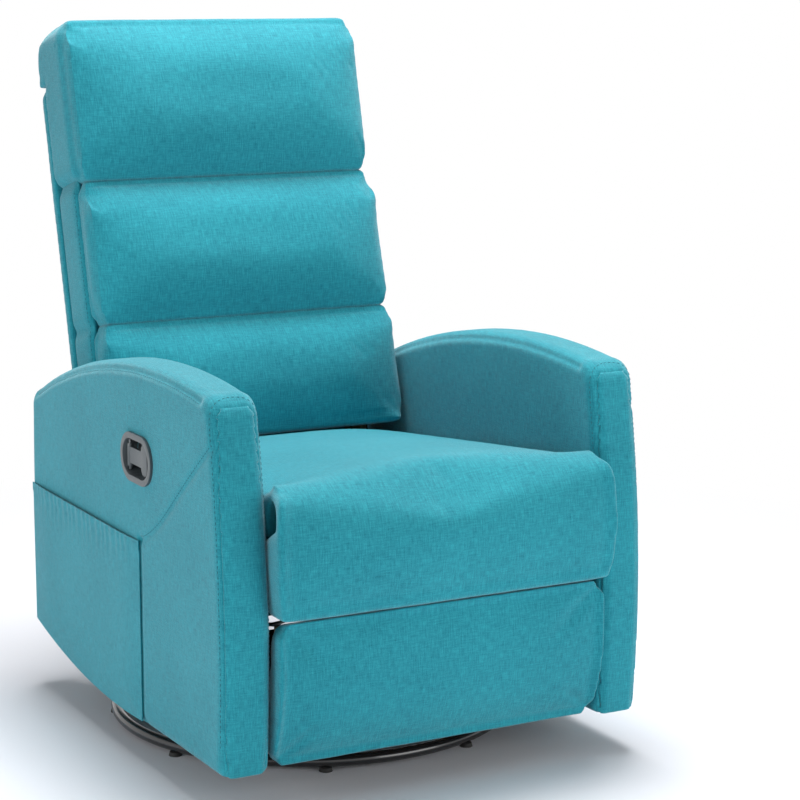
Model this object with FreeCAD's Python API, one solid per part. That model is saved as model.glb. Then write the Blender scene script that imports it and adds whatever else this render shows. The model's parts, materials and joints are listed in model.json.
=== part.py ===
"""Swivel rocker recliner: a padded armchair on a round tube base.

Millimetres, +Z up, the sitter faces -Y and the release handle is on the -X arm.
The origin is on the floor, under the middle of the chair's outer box.
"""
import FreeCAD, Part
import math
import os

os.makedirs("parts", exist_ok=True)
V = FreeCAD.Vector

# Overall
BOX_SHIFT_Y = 7.0          # the swivel axis stands this far in front of the box centre
HALF_GAP = 264.0           # half the width between the arms
ARM_THICK = 73.0           # padded thickness of each arm
ARM_OUTER = HALF_GAP + ARM_THICK
POCKET_THICK = 7.0         # side pocket with its hollow
HALF_WIDTH = ARM_OUTER + POCKET_THICK
FIT = 0.3                  # clearance between neighbouring solids
RUN = 0.05                 # radial clearance of a pin in its hole

# Round base and swivel
RING_RADIUS = 307.0
TUBE_RADIUS = 9.0
FOOT_HEIGHT = 6.0
FOOT_COUNT = 8
SPOKE_COUNT = 4
BASE_TURN = 45.0           # how the base happens to stand under the chair
SPOKE_WIDTH = 42.0
SPOKE_THICK = 6.0
HUB_TOP = 57.0
HUB_RADIUS = 92.0
RING_IN = 52.0
RING_OUT = 80.0
RING_THICK = 4.0
PLATE_THICK = 5.0
PLATE_HALF_X = 150.0
PLATE_HALF_Y = 150.0

# Rocker
RAIL_X = 138.0
RAIL_WIDTH = 34.0
RAIL_HEIGHT = 40.0
PAD_THICK = 4.0
CAM_RADIUS = 170.0
CAM_THICK = 16.0
CAM_HALF = 104.0
CAM_TOP = 186.0
GUIDE_X = 170.0
GUIDE_THICK = 6.0
ROCK_TRAVEL = 27.0
BLOCK_HALF_Y = 12.0
BLOCK_HALF_Z = 10.0
ROCK_PIN = 6.0
CROSS_TUBE = 25.0
CROSS_TUBE_Y = 82.0
SPRING_X = 96.0
SPRING_RADIUS = 17.0
SPRING_WIRE = 3.0
SPRING_TURNS = 4
SPRING_STEPS = 12          # straight pieces in one turn of a coil

# Footrest scissor, positions as (y, z)
PIVOT = (-296.0, 334.0)
TONG_TILT = 0.0
TONG_FOLDED = 80.0
TONG_OPEN = 13.0
REAR_ARM = 108.0
FRONT_ARM = 108.0
LINK_WIDTH = 16.0
LINK_THICK = 5.0
LAYER_PLATE = 256.0
LAYER_ONE = 249.0
LAYER_TWO = 242.0
LINK_PIN = 4.5
CROSS_ROD = 6.0

# Seat and footrest pads
SEAT_HALF = 258.0
SEAT_FRONT_Z = 470.0
SEAT_REAR_Z = 404.0
SEAT_REAR_Y = 196.0
SEAT_THICK = 88.0
ROLL_CENTRE = (-400.0, 414.0)
ROLL_RADIUS = 56.0
FLAP_END_Z = 279.0
FLAP_THICK = 30.0
PANEL_TOP_Z = 273.0
PANEL_BOTTOM_Z = 66.0
PANEL_TOP_Y = -448.0
PANEL_BOTTOM_Y = -423.0
PANEL_THICK = 40.0
BOARD_THICK = 12.0

# Reclining back: w is measured backwards and v upwards along the lean
BACK_HINGE = (200.0, 225.0)
BACK_LEAN = 14.0
BACK_HALF = 258.0
BOARD_REAR_W = 84.0
BACK_BOARD_THICK = 20.0
BOARD_LOW_V = 66.0
BOARD_TOP_V = 775.0
POST_DEPTH = 28.0
CREASE_LOW_V = 368.0
CREASE_HIGH_V = 600.0
HEAD_TOP_V = 858.0
BACK_PIN = 6.0

# Release handle
HANDLE_AT = (-127.0, 456.0)
BEZEL_LONG = 114.0
BEZEL_HIGH = 72.0
CUP_DEPTH = 21.0
PADDLE_THICK = 5.0


# Helpers

def point(y, z, x=0.0):
    """A point given in the side view."""
    return V(x, y, z)


def outline(start, *steps):
    """Closed side-view wire; a step is an end point, or a point on an arc and the end."""
    edges = []
    here = start
    for step in steps:
        if len(step) == 2 and isinstance(step[0], tuple):
            edges.append(Part.Arc(point(*here), point(*step[0]), point(*step[1])).toShape())
            here = step[1]
        else:
            edges.append(Part.LineSegment(point(*here), point(*step)).toShape())
            here = step
    if here != start:
        edges.append(Part.LineSegment(point(*here), point(*start)).toShape())
    return Part.Wire(edges)


def slab(wire, x_low, x_high):
    """A side-view wire made solid between two X planes."""
    face = Part.Face(wire)
    face.translate(V(x_low, 0, 0))
    return face.extrude(V(x_high - x_low, 0, 0))


def box(x0, x1, y0, y1, z0, z1):
    """A block between opposite corners."""
    return Part.makeBox(x1 - x0, y1 - y0, z1 - z0, V(x0, y0, z0))


def rod(y, z, radius, x0, x1):
    """A round bar along X."""
    return Part.makeCylinder(radius, x1 - x0, V(x0, y, z), V(1, 0, 0))


def stadium(a, b, half_width, x_low, x_high):
    """A flat bar with round ends between two side-view points."""
    dy = b[0] - a[0]
    dz = b[1] - a[1]
    length = math.hypot(dy, dz)
    ny = -dz / length * half_width
    nz = dy / length * half_width
    ey = dy / length * half_width
    ez = dz / length * half_width
    wire = outline(
        (a[0] + ny, a[1] + nz),
        (b[0] + ny, b[1] + nz),
        ((b[0] + ey, b[1] + ez), (b[0] - ny, b[1] - nz)),
        (a[0] - ny, a[1] - nz),
        ((a[0] - ey, a[1] - ez), (a[0] + ny, a[1] + nz)),
    )
    return slab(wire, x_low, x_high)


def round_plate(half_x, half_z, radius, y_low, y_high, centre_z):
    """A front-view rectangle with round corners, made solid along Y."""
    block = box(-half_x, half_x, y_low, y_high, centre_z - half_z, centre_z + half_z)
    edges = [e for e in block.Edges if abs(e.Vertexes[0].Y - e.Vertexes[-1].Y) > 1.0]
    return block.makeFillet(radius, edges)


def mirrored(shape):
    """The same piece on the other side of the chair."""
    return shape.mirror(V(0, 0, 0), V(1, 0, 0))


def both(shape):
    """The piece and its mirror image as one group."""
    return Part.Compound([shape, mirrored(shape)])


def along(start, direction, distance):
    """A side-view point some way along a side-view direction."""
    return (start[0] + direction[0] * distance, start[1] + direction[1] * distance)


def heading(degrees):
    """Side-view direction: 0 is forwards, 90 is up."""
    turn = math.radians(degrees)
    return (-math.cos(turn), math.sin(turn))


def leaned(shape):
    """A piece built with the back upright at its hinge, set at the back's lean."""
    moved = shape.copy()
    moved.translate(V(0, BACK_HINGE[0], BACK_HINGE[1]))
    moved.rotate(V(0, BACK_HINGE[0], BACK_HINGE[1]), V(1, 0, 0), -BACK_LEAN)
    return moved


def export(name, shape):
    """Write one node, moved so that the origin is under the middle of the box."""
    placed = shape.copy()
    placed.translate(V(0, -BOX_SHIFT_Y, 0))
    placed.exportStep("parts/" + name + ".step")


# Round base

def base_ring():
    """Bent tube ring that stands on the feet."""
    return Part.makeTorus(RING_RADIUS, TUBE_RADIUS, V(0, 0, FOOT_HEIGHT + TUBE_RADIUS), V(0, 0, 1))


def base_feet():
    """Small glides under the ring."""
    feet = []
    for step in range(FOOT_COUNT):
        turn = math.radians(BASE_TURN + 360.0 * (step + 0.5) / FOOT_COUNT)
        spot = V(RING_RADIUS * math.cos(turn), RING_RADIUS * math.sin(turn), 0)
        feet.append(Part.makeCone(10.0, 8.5, FOOT_HEIGHT - FIT / 2, spot, V(0, 0, 1)))
    return Part.Compound(feet)


def base_spokes():
    """Four pressed bars that climb from the ring to the hub."""
    ring = Part.makeTorus(RING_RADIUS, TUBE_RADIUS + FIT / 2, V(0, 0, FOOT_HEIGHT + TUBE_RADIUS), V(0, 0, 1))
    low = FOOT_HEIGHT + TUBE_RADIUS
    high = HUB_TOP - SPOKE_THICK - 6.0
    profile = outline(
        (HUB_RADIUS - 34.0, high - SPOKE_THICK),
        (RING_RADIUS - 66.0, high - SPOKE_THICK),
        (RING_RADIUS - 4.0, low - SPOKE_THICK / 2),
        (RING_RADIUS - 4.0, low + SPOKE_THICK / 2),
        (RING_RADIUS - 62.0, high),
        (HUB_RADIUS - 34.0, high),
    )
    bar = slab(profile, -SPOKE_WIDTH / 2, SPOKE_WIDTH / 2).cut(ring)
    bars = []
    for step in range(SPOKE_COUNT):
        turned = bar.copy()
        turned.rotate(V(0, 0, 0), V(0, 0, 1), 360.0 * step / SPOKE_COUNT + BASE_TURN)
        bars.append(turned)
    return Part.Compound(bars)


UPPER_FACE = HUB_TOP + RING_THICK + FIT
PLATE_TOP = UPPER_FACE + PLATE_THICK


def swivel_hub():
    """Lower bearing dish on the spokes with the swivel post."""
    dish = Part.makeCylinder(HUB_RADIUS, 12.0, V(0, 0, HUB_TOP - 12.0))
    post = Part.makeCylinder(14.0, PLATE_TOP - HUB_TOP + 10.0, V(0, 0, HUB_TOP))
    return dish.fuse(post).removeSplitter()


def thrust_ring():
    """Flat bearing ring between the hub and the swivel plate."""
    ring = Part.makeCylinder(RING_OUT, RING_THICK, V(0, 0, HUB_TOP))
    return ring.cut(Part.makeCylinder(RING_IN, RING_THICK, V(0, 0, HUB_TOP)))


# Swivel plate and rocker

RAIL_TOP = PLATE_TOP + RAIL_HEIGHT
ROLL_LINE = RAIL_TOP + PAD_THICK
CAM_CENTRE_Z = ROLL_LINE + FIT + CAM_RADIUS


def swivel_plate():
    """Square plate that turns on the hub and carries the rocker rails."""
    plate = box(-PLATE_HALF_X, PLATE_HALF_X, -PLATE_HALF_Y, PLATE_HALF_Y, UPPER_FACE, PLATE_TOP)
    corners = [e for e in plate.Edges if abs(e.Vertexes[0].Z - e.Vertexes[-1].Z) > 1.0]
    plate = plate.makeFillet(20.0, corners)
    wings = box(-GUIDE_X - 24.0, GUIDE_X + 24.0, -34.0, 34.0, UPPER_FACE, PLATE_TOP)
    whole = plate.fuse(wings).removeSplitter()
    return whole.cut(Part.makeCylinder(14.0 + RUN, 40.0, V(0, 0, HUB_TOP)))


def rocker_rails():
    """Two box rails welded on the plate, open at both ends."""
    x0 = RAIL_X - RAIL_WIDTH / 2
    x1 = RAIL_X + RAIL_WIDTH / 2
    outer = box(x0, x1, -140.0, 140.0, PLATE_TOP, RAIL_TOP)
    inner = box(x0 + 3.0, x1 - 3.0, -150.0, 150.0, PLATE_TOP + 3.0, RAIL_TOP - 3.0)
    return both(outer.cut(inner))


def rail_pads():
    """Hard rubber strips that the cams roll on."""
    return both(box(RAIL_X - 12.0, RAIL_X + 12.0, -138.0, 138.0, RAIL_TOP, ROLL_LINE))


def rocker_guides():
    """Upright posts whose level slots keep the cams on their rails."""
    low = PLATE_TOP
    head = CAM_CENTRE_Z
    post = box(GUIDE_X, GUIDE_X + GUIDE_THICK, -24.0, 24.0, low, head - 18.0)
    reach = ROCK_TRAVEL + BLOCK_HALF_Y + 14.0
    top = box(GUIDE_X, GUIDE_X + GUIDE_THICK, -reach, reach, head - 24.0, head + 24.0)
    foot = box(GUIDE_X, GUIDE_X + 22.0, -24.0, 24.0, low, low + GUIDE_THICK)
    slot_half = ROCK_TRAVEL + BLOCK_HALF_Y + FIT
    slot_high = BLOCK_HALF_Z + FIT / 2
    slot = box(GUIDE_X - 5, GUIDE_X + 30, -slot_half, slot_half, head - slot_high, head + slot_high)
    return both(post.fuse([top, foot]).cut(slot).removeSplitter())


def guide_blocks():
    """Sliding blocks in the slots; the cam pins turn in them."""
    block = box(
        GUIDE_X - 0.5, GUIDE_X + GUIDE_THICK + 0.5,
        -BLOCK_HALF_Y, BLOCK_HALF_Y,
        CAM_CENTRE_Z - BLOCK_HALF_Z, CAM_CENTRE_Z + BLOCK_HALF_Z,
    )
    return both(block.cut(rod(0, CAM_CENTRE_Z, ROCK_PIN + RUN, GUIDE_X - 5, GUIDE_X + 20)))


def eight_sided(centre, direction, radius):
    """Section of a bar with eight flats, square to its direction."""
    across = direction.cross(V(0, 0, 1)).normalize()
    up = across.cross(direction).normalize()
    corners = []
    for step in range(9):
        turn = math.radians(45.0 * step + 22.5)
        corners.append(centre + across * (radius * math.cos(turn)) + up * (radius * math.sin(turn)))
    return Part.makePolygon(corners)


def rocker_springs():
    """Four coil springs between the swivel plate and the cross tubes, in short straight steps."""
    low = PLATE_TOP + SPRING_WIRE + FIT
    high = CAM_TOP - SPRING_WIRE - FIT
    steps = SPRING_TURNS * SPRING_STEPS
    path = []
    for step in range(steps + 1):
        turn = 2 * math.pi * step / SPRING_STEPS
        rise = (high - low) * step / steps
        path.append(V(SPRING_RADIUS * math.cos(turn), SPRING_RADIUS * math.sin(turn), rise))
    wire = eight_sided(path[0], path[1] - path[0], SPRING_WIRE)
    coil = Part.makePolygon(path).makePipeShell([wire], True, False, 1)
    coils = []
    for y in (-CROSS_TUBE_Y, CROSS_TUBE_Y):
        placed = coil.copy()
        placed.translate(V(SPRING_X, y, low))
        coils.append(placed)
        placed = coil.copy()
        placed.translate(V(-SPRING_X, y, low))
        coils.append(placed)
    return Part.Compound(coils)


# Chassis under the seat

SIDE_RAIL_IN = 212.0
SIDE_RAIL_OUT = 234.0


def rocker_cams():
    """Curved rocker segments with the guide pins at their centre of curvature."""
    top = CAM_TOP
    drop = CAM_CENTRE_Z - math.sqrt(CAM_RADIUS ** 2 - CAM_HALF ** 2)
    profile = outline(
        (-CAM_HALF, drop),
        ((0.0, CAM_CENTRE_Z - CAM_RADIUS), (CAM_HALF, drop)),
        (CAM_HALF, top),
        (46.0, top),
        (15.0, CAM_CENTRE_Z + 4.0),
        ((0.0, CAM_CENTRE_Z + 17.0), (-15.0, CAM_CENTRE_Z + 4.0)),
        (-46.0, top),
        (-CAM_HALF, top),
    )
    x0 = RAIL_X - CAM_THICK / 2
    x1 = RAIL_X + CAM_THICK / 2
    plate = slab(profile, x0, x1)
    window = rod(0, CAM_TOP - 10.0, 20.0, x0 - 1, x1 + 1)
    pin = rod(0, CAM_CENTRE_Z, ROCK_PIN, x1 - 2.0, GUIDE_X + GUIDE_THICK + 4.0)
    return both(plate.cut(window).fuse(pin).removeSplitter())


def cross_tubes():
    """Two square tubes over the cams, closed by the side rails."""
    half = CROSS_TUBE / 2
    tubes = []
    for y in (-CROSS_TUBE_Y, CROSS_TUBE_Y):
        outer = box(-SIDE_RAIL_IN, SIDE_RAIL_IN, y - half, y + half, CAM_TOP, CAM_TOP + CROSS_TUBE)
        inner = box(
            -SIDE_RAIL_IN - 5, SIDE_RAIL_IN + 5,
            y - half + 2, y + half - 2, CAM_TOP + 2, CAM_TOP + CROSS_TUBE - 2,
        )
        tubes.append(outer.cut(inner))
    return Part.Compound(tubes)


def side_rails():
    """Wooden rails along both sides of the chassis."""
    return both(box(SIDE_RAIL_IN, SIDE_RAIL_OUT, -226.0, 276.0, 158.0, 214.0))


def end_rail(y_low, y_high, z_low, z_high):
    """A wooden rail between the arms with two hand holes."""
    rail = box(-HALF_GAP + 0.2, HALF_GAP - 0.2, y_low, y_high, z_low, z_high)
    middle = (z_low + z_high) / 2
    for x in (-110.0, 110.0):
        rail = rail.cut(Part.makeCylinder(14.0, 60.0, V(x, y_low - 20.0, middle), V(0, 1, 0)))
    return rail


def front_rail():
    """Rail behind the folded footrest."""
    return end_rail(-248.0, -226.0, 118.0, 186.0)


def rear_rail():
    """Rail behind the rocker."""
    return end_rail(276.0, 298.0, 118.0, 216.0)


def seat_posts():
    """Four wooden uprights from the side rails to the seat frame."""
    posts = []
    for y in (-196.0, 96.0):
        front_high = seat_line(y) - SEAT_THICK - SEAT_FRAME_HIGH
        rear_high = seat_line(y + 36.0) - SEAT_THICK - SEAT_FRAME_HIGH
        wire = outline((y, 214.0), (y + 36.0, 214.0), (y + 36.0, rear_high), (y, front_high))
        posts.append(both(slab(wire, SIDE_RAIL_IN, SIDE_RAIL_IN + 18.0)))
    return Part.Compound(posts)


# Arms

def arm_wire(inset=0.0):
    """Side view of an arm: bowed bottom, arched top, bulging front, drawn in all round."""
    low = 0.6 * inset
    turn = 0.7 * inset
    slight = 0.3 * inset
    return outline(
        (-412.0 + inset, 62.0 + low),
        ((-421.0 + inset, 250.0), (-391.0 + inset, 548.0 - slight)),
        ((-380.0 + turn, 574.0 - turn), (-350.0 + slight, 585.0 - inset)),
        ((-20.0, 583.0 - inset), (308.0 - slight, 491.0 - inset)),
        ((325.0 - turn, 481.0 - turn), (332.0 - inset, 462.0 - slight)),
        ((338.0 - inset, 280.0), (336.0 - inset, 101.0 + low)),
        ((170.0, 66.0 + inset), (-20.0, 55.0 + inset)),
        ((-210.0, 57.5 + inset), (-412.0 + inset, 62.0 + low)),
    )


ARM_BOARD_THICK = 18.0
ARM_BOARD_COVER = 27.0     # padding outside the plywood
ARM_BOARD_OUT = ARM_OUTER - ARM_BOARD_COVER
ARM_BOARD_IN = ARM_BOARD_OUT - ARM_BOARD_THICK
FRONT_PANEL_THICK = 7.0


def arm_board():
    """Plywood panel inside an arm."""
    return slab(arm_wire(24.0), ARM_BOARD_IN, ARM_BOARD_OUT)


def front_cutter():
    """Everything in front of the line where the front panel meets the arm."""
    wire = outline(
        (-412.0 + FRONT_PANEL_THICK, 40.0),
        ((-421.0 + FRONT_PANEL_THICK, 250.0), (-380.0 + FRONT_PANEL_THICK, 620.0)),
        (-520.0, 620.0),
        (-520.0, 40.0),
    )
    return slab(wire, HALF_GAP - 5, HALF_WIDTH + 5)


def arm_body():
    """The whole padded arm before it is split, rounded towards both faces."""
    middle = (HALF_GAP + ARM_OUTER) / 2
    half = (ARM_OUTER - HALF_GAP) / 2
    sections = []
    for offset, inset in ((-half, 15.0), (5.0 - half, 5.0), (16.0 - half, 0.0),
                          (half - 16.0, 0.0), (half - 5.0, 5.0), (half, 15.0)):
        wire = arm_wire(inset)
        wire.translate(V(middle + offset, 0, 0))
        sections.append(wire)
    return Part.makeLoft(sections, True, True)


def arm_cover():
    """Foam and cloth of an arm, slipped over its board from above."""
    body = arm_body().cut(front_cutter())
    slot = slab(arm_wire(23.7), ARM_BOARD_IN - FIT, ARM_BOARD_OUT + FIT)
    lowered = slot.copy()
    lowered.translate(V(0, 0, -60.0))
    return body.cut(slot).cut(lowered).removeSplitter()


def arm_front():
    """Upright front panel of an arm with its arched top."""
    thicker = front_cutter()
    thicker.translate(V(0, -FIT, 0))
    return arm_body().common(thicker)


def handle_recess(cover):
    """The arm cover with room for the release cup and its cable."""
    y, z = HANDLE_AT
    cup = oval_bar(BEZEL_LONG - 12.0 + 2 * FIT, BEZEL_HIGH - 12.0 + 2 * FIT, -ARM_OUTER - 8.0, -ARM_OUTER + CUP_DEPTH + FIT)
    groove = box(-ARM_OUTER + 8.0, -ARM_OUTER + 24.0, y - 6.0, y + 6.0, 244.0, z)
    bore = rod(y, 250.0, 6.0, -ARM_OUTER + 8.0, -HALF_GAP + 5.0)
    return cover.cut(cup).cut(groove).cut(bore)


def side_pocket():
    """Cloth pocket on the outside of an arm, open along its level top edge."""
    top = 335.0
    front = -127.0
    wire = outline(
        (front, top),
        (front, 62.0),
        ((104.0, 66.0), (326.0, 107.0)),
        ((329.0, 220.0), (327.0, top)),
    )
    outer = slab(wire, ARM_OUTER + 0.2, HALF_WIDTH)
    hollow = outline(
        (front + 9.0, top + 20.0),
        (front + 9.0, 73.0),
        ((104.0, 77.0), (316.0, 116.0)),
        ((319.0, 220.0), (317.0, top + 20.0)),
    )
    return outer.cut(slab(hollow, ARM_OUTER - 1.0, HALF_WIDTH - 1.6))


# Release handle, built at the middle of the -X arm's bezel

def oval_bar(length, height, x_low, x_high):
    """A bar along X with a long oval section at the handle."""
    y, z = HANDLE_AT
    run = (length - height) / 2
    return stadium((y - run, z), (y + run, z), height / 2, x_low, x_high)


PADDLE_PIN_Y = HANDLE_AT[0] + 37.0
PADDLE_X = -ARM_OUTER + 3.0


def release_bezel():
    """Moulded oval cup with a raised rim and the bosses of the paddle pin."""
    y, z = HANDLE_AT
    rim = oval_bar(BEZEL_LONG, BEZEL_HIGH, -ARM_OUTER - 5.0, -ARM_OUTER - 0.2)
    cup = oval_bar(BEZEL_LONG - 12.0, BEZEL_HIGH - 12.0, -ARM_OUTER - 5.0, -ARM_OUTER + CUP_DEPTH)
    hollow = oval_bar(BEZEL_LONG - 18.0, BEZEL_HIGH - 18.0, -ARM_OUTER - 6.0, -ARM_OUTER + CUP_DEPTH - 2.5)
    shell = rim.fuse(cup).cut(hollow)
    pin = Part.makeCylinder(2.5 + RUN, BEZEL_HIGH, V(PADDLE_X, PADDLE_PIN_Y, z - BEZEL_HIGH / 2))
    exit_hole = Part.makeCylinder(3.5, 30.0, V(-ARM_OUTER + 14.0, y, z - 40.0))
    return shell.cut(pin.common(oval_bar(BEZEL_LONG - 14.0, BEZEL_HIGH - 13.0, -400.0, -200.0))).cut(exit_hole)


def release_paddle():
    """Hammer-headed pull lever with its hinge pin."""
    y, z = HANDLE_AT
    x0 = PADDLE_X - PADDLE_THICK / 2
    x1 = PADDLE_X + PADDLE_THICK / 2
    stem = box(x0, x1, y - 14.0, PADDLE_PIN_Y, z - 12.0, z + 12.0)
    head = stadium((y - 20.0, z - 12.0), (y - 20.0, z + 12.0), 11.0, x0, x1)
    barrel = Part.makeCylinder(4.5, 33.0, V(PADDLE_X, PADDLE_PIN_Y, z - 16.5))
    pin = Part.makeCylinder(2.5, 44.8, V(PADDLE_X, PADDLE_PIN_Y, z - 22.4))
    return stem.fuse([head, barrel, pin]).removeSplitter()


def release_cable():
    """Sheathed cable from the cup, down the arm and in to the latch."""
    y, z = HANDLE_AT
    x = -ARM_OUTER + 14.0
    bend = 16.0
    top = V(x, y, z - BEZEL_HIGH / 2 + 8.0)
    low = V(x, y, 250.0 + bend)
    turn = V(x + bend * (1 - math.sqrt(0.5)), y, 250.0 + bend * (1 - math.sqrt(0.5)))
    out = V(x + bend, y, 250.0)
    end = V(-LAYER_PLATE - LINK_THICK - FIT, y, 250.0)
    path = Part.Wire([
        Part.LineSegment(top, low).toShape(),
        Part.Arc(low, turn, out).toShape(),
        Part.LineSegment(out, end).toShape(),
    ])
    ring = Part.Wire(Part.makeCircle(3.0, top, V(0, 0, 1)))
    return path.makePipeShell([ring], True, True)


# Recliner mechanism

CROSS = along(PIVOT, heading(TONG_TILT - TONG_FOLDED), REAR_ARM)
LONG_END = along(CROSS, heading(TONG_TILT - TONG_FOLDED), FRONT_ARM)
SLOT_END = along(CROSS, heading(TONG_TILT + TONG_FOLDED), -REAR_ARM)
SHORT_END = along(CROSS, heading(TONG_TILT + TONG_FOLDED), FRONT_ARM)
NOSE = along(LONG_END, heading(TONG_TILT + TONG_FOLDED), FRONT_ARM)
SLOT_HIGH = along(PIVOT, heading(TONG_TILT + 90.0), -2 * REAR_ARM * math.sin(math.radians(TONG_OPEN)))


def mechanism_plate():
    """Side plate: scissor pivot and slot in front, back hinge behind."""
    wire = outline(
        (-252.0, 346.0),
        (-330.0, 346.0),
        (-352.0, 240.0),
        (-352.0, 106.0),
        (-286.0, 106.0),
        (-250.0, 190.0),
        (186.0, 190.0),
        ((222.0, 212.0), (206.0, 252.0)),
        (150.0, 268.0),
        (-90.0, 268.0),
        (-226.0, 268.0),
    )
    plate = slab(wire, LAYER_PLATE, LAYER_PLATE + LINK_THICK)
    slot = stadium(SLOT_END, SLOT_HIGH, LINK_PIN + FIT, LAYER_PLATE - 5, LAYER_PLATE + 20)
    plate = plate.cut(slot)
    for y in (-180.0, -30.0, 60.0, 120.0):
        plate = plate.cut(rod(y, 230.0, 9.0, LAYER_PLATE - 5, LAYER_PLATE + 20))
    pivot = rod(PIVOT[0], PIVOT[1], LINK_PIN, LAYER_ONE - 2.5, LAYER_PLATE + 1.0)
    hinge = rod(BACK_HINGE[0], BACK_HINGE[1], BACK_PIN, LAYER_TWO - 2.0, LAYER_PLATE + 1.0)
    return plate.fuse([pivot, hinge]).removeSplitter()


def link_bar(a, b, layer, holes):
    """A riveted steel link in one layer with its pivot holes."""
    bar = stadium(a, b, LINK_WIDTH / 2, layer, layer + LINK_THICK)
    for spot, radius in holes:
        bar = bar.cut(rod(spot[0], spot[1], radius + RUN, layer - 1, layer + LINK_THICK + 1))
    return bar


def long_links():
    """Links from the side plates to the knees, with the knee pins."""
    bar = link_bar(PIVOT, LONG_END, LAYER_ONE, [(PIVOT, LINK_PIN), (CROSS, CROSS_ROD - RUN)])
    pin = rod(LONG_END[0], LONG_END[1], LINK_PIN, LAYER_TWO - 1.5, LAYER_ONE + 1.0)
    head = rod(LONG_END[0], LONG_END[1], LINK_PIN + 2.0, LAYER_TWO - 2.5, LAYER_TWO - 0.5)
    return both(bar.fuse([pin, head]).removeSplitter())


def cross_rod():
    """Round bar that joins both scissors at their crossing."""
    reach = LAYER_ONE + LINK_THICK
    return rod(CROSS[0], CROSS[1], CROSS_ROD, -reach, reach)


def short_links():
    """Links crossing the long ones, with pins that run in the plate slots."""
    bar = link_bar(SLOT_END, SHORT_END, LAYER_TWO, [(CROSS, CROSS_ROD)])
    slot_pin = rod(SLOT_END[0], SLOT_END[1], LINK_PIN, LAYER_TWO + 1.0, LAYER_PLATE + LINK_THICK - 0.5)
    top_pin = rod(SHORT_END[0], SHORT_END[1], LINK_PIN, LAYER_TWO + 1.0, LAYER_ONE + LINK_THICK)
    return both(bar.fuse([slot_pin, top_pin]).removeSplitter())


def knee_links():
    """Links from the knees up to the footrest brackets, with the nose pins."""
    bar = link_bar(LONG_END, NOSE, LAYER_TWO, [(LONG_END, LINK_PIN)])
    pin = rod(NOSE[0], NOSE[1], LINK_PIN, LAYER_TWO + 1.0, LAYER_ONE + LINK_THICK)
    return both(bar.fuse(pin).removeSplitter())


BOARD_REAR = PANEL_THICK + BOARD_THICK


def panel_line(z, depth):
    """Y of a point behind the footrest panel's front face."""
    share = (PANEL_TOP_Z - z) / (PANEL_TOP_Z - PANEL_BOTTOM_Z)
    return PANEL_TOP_Y + share * (PANEL_BOTTOM_Y - PANEL_TOP_Y) + depth


def footrest_brackets():
    """Links that end in a bent plate screwed to the footrest board."""
    bar = stadium(SHORT_END, NOSE, LINK_WIDTH / 2, LAYER_ONE, LAYER_ONE + LINK_THICK)
    rear = BOARD_REAR + FIT
    wire = outline(
        (NOSE[0] + 7.0, NOSE[1] + 6.0),
        (panel_line(252.0, rear), 252.0),
        (panel_line(146.0, rear), 146.0),
        (panel_line(146.0, rear) + 16.0, 146.0),
        (NOSE[0] - 2.0, NOSE[1] - 9.0),
    )
    plate = slab(wire, LAYER_ONE, LAYER_ONE + LINK_THICK)
    flange_wire = outline(
        (panel_line(252.0, rear), 252.0),
        (panel_line(146.0, rear), 146.0),
        (panel_line(146.0, rear) + LINK_THICK - 1.0, 146.0),
        (panel_line(252.0, rear) + LINK_THICK - 1.0, 252.0),
    )
    flange = slab(flange_wire, LAYER_ONE - 26.0, LAYER_ONE + 1.0)
    whole = bar.fuse([plate, flange])
    for spot in (SHORT_END, NOSE):
        whole = whole.cut(rod(spot[0], spot[1], LINK_PIN + RUN, LAYER_ONE - 1, LAYER_ONE + LINK_THICK + 1))
    return both(whole.removeSplitter())


# Footrest and front flap

SEAT_FRONT_Y = ROLL_CENTRE[0] + 5.5


def footrest_board():
    """Plywood behind the footrest pad."""
    low = PANEL_BOTTOM_Z + 14.0
    high = PANEL_TOP_Z - 10.0
    wire = outline(
        (panel_line(low, PANEL_THICK), low),
        (panel_line(high, PANEL_THICK), high),
        (panel_line(high, BOARD_REAR), high),
        (panel_line(low, BOARD_REAR), low),
    )
    return slab(wire, -250.0, 250.0)


def footrest_pad():
    """Crowned pad of the footrest with softly rounded sides."""
    top_y = panel_line(PANEL_TOP_Z - 6.0, PANEL_THICK - FIT)
    low_y = panel_line(PANEL_BOTTOM_Z + 6.0, PANEL_THICK - FIT)
    crown = panel_line(170.0, -2.0)
    wire = outline(
        (low_y, PANEL_BOTTOM_Z + 6.0),
        (low_y - 20.0, PANEL_BOTTOM_Z),
        ((crown, 168.0), (top_y - 26.0, PANEL_TOP_Z)),
        (top_y, PANEL_TOP_Z - 6.0),
    )
    middle = (PANEL_TOP_Z + PANEL_BOTTOM_Z) / 2
    half = (PANEL_TOP_Z - PANEL_BOTTOM_Z) / 2 + 8.0
    return slab(wire, -260.0, 260.0).common(round_plate(259.0, half, 34.0, -520.0, -300.0, middle))


def front_flap():
    """Pad between the seat and the footrest; it swings level when the footrest is out."""
    front = ROLL_CENTRE[0] - ROLL_RADIUS
    top = ROLL_CENTRE[1] - 4.0
    wire = outline(
        (front + FLAP_THICK, top),
        ((front + FLAP_THICK / 2, top + 5.0), (front, top)),
        ((front - 3.0, 350.0), (front + 5.0, FLAP_END_Z + 10.0)),
        ((front + 14.0, FLAP_END_Z), (front + FLAP_THICK, FLAP_END_Z + 8.0)),
    )
    return slab(wire, -259.0, 259.0)


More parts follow.
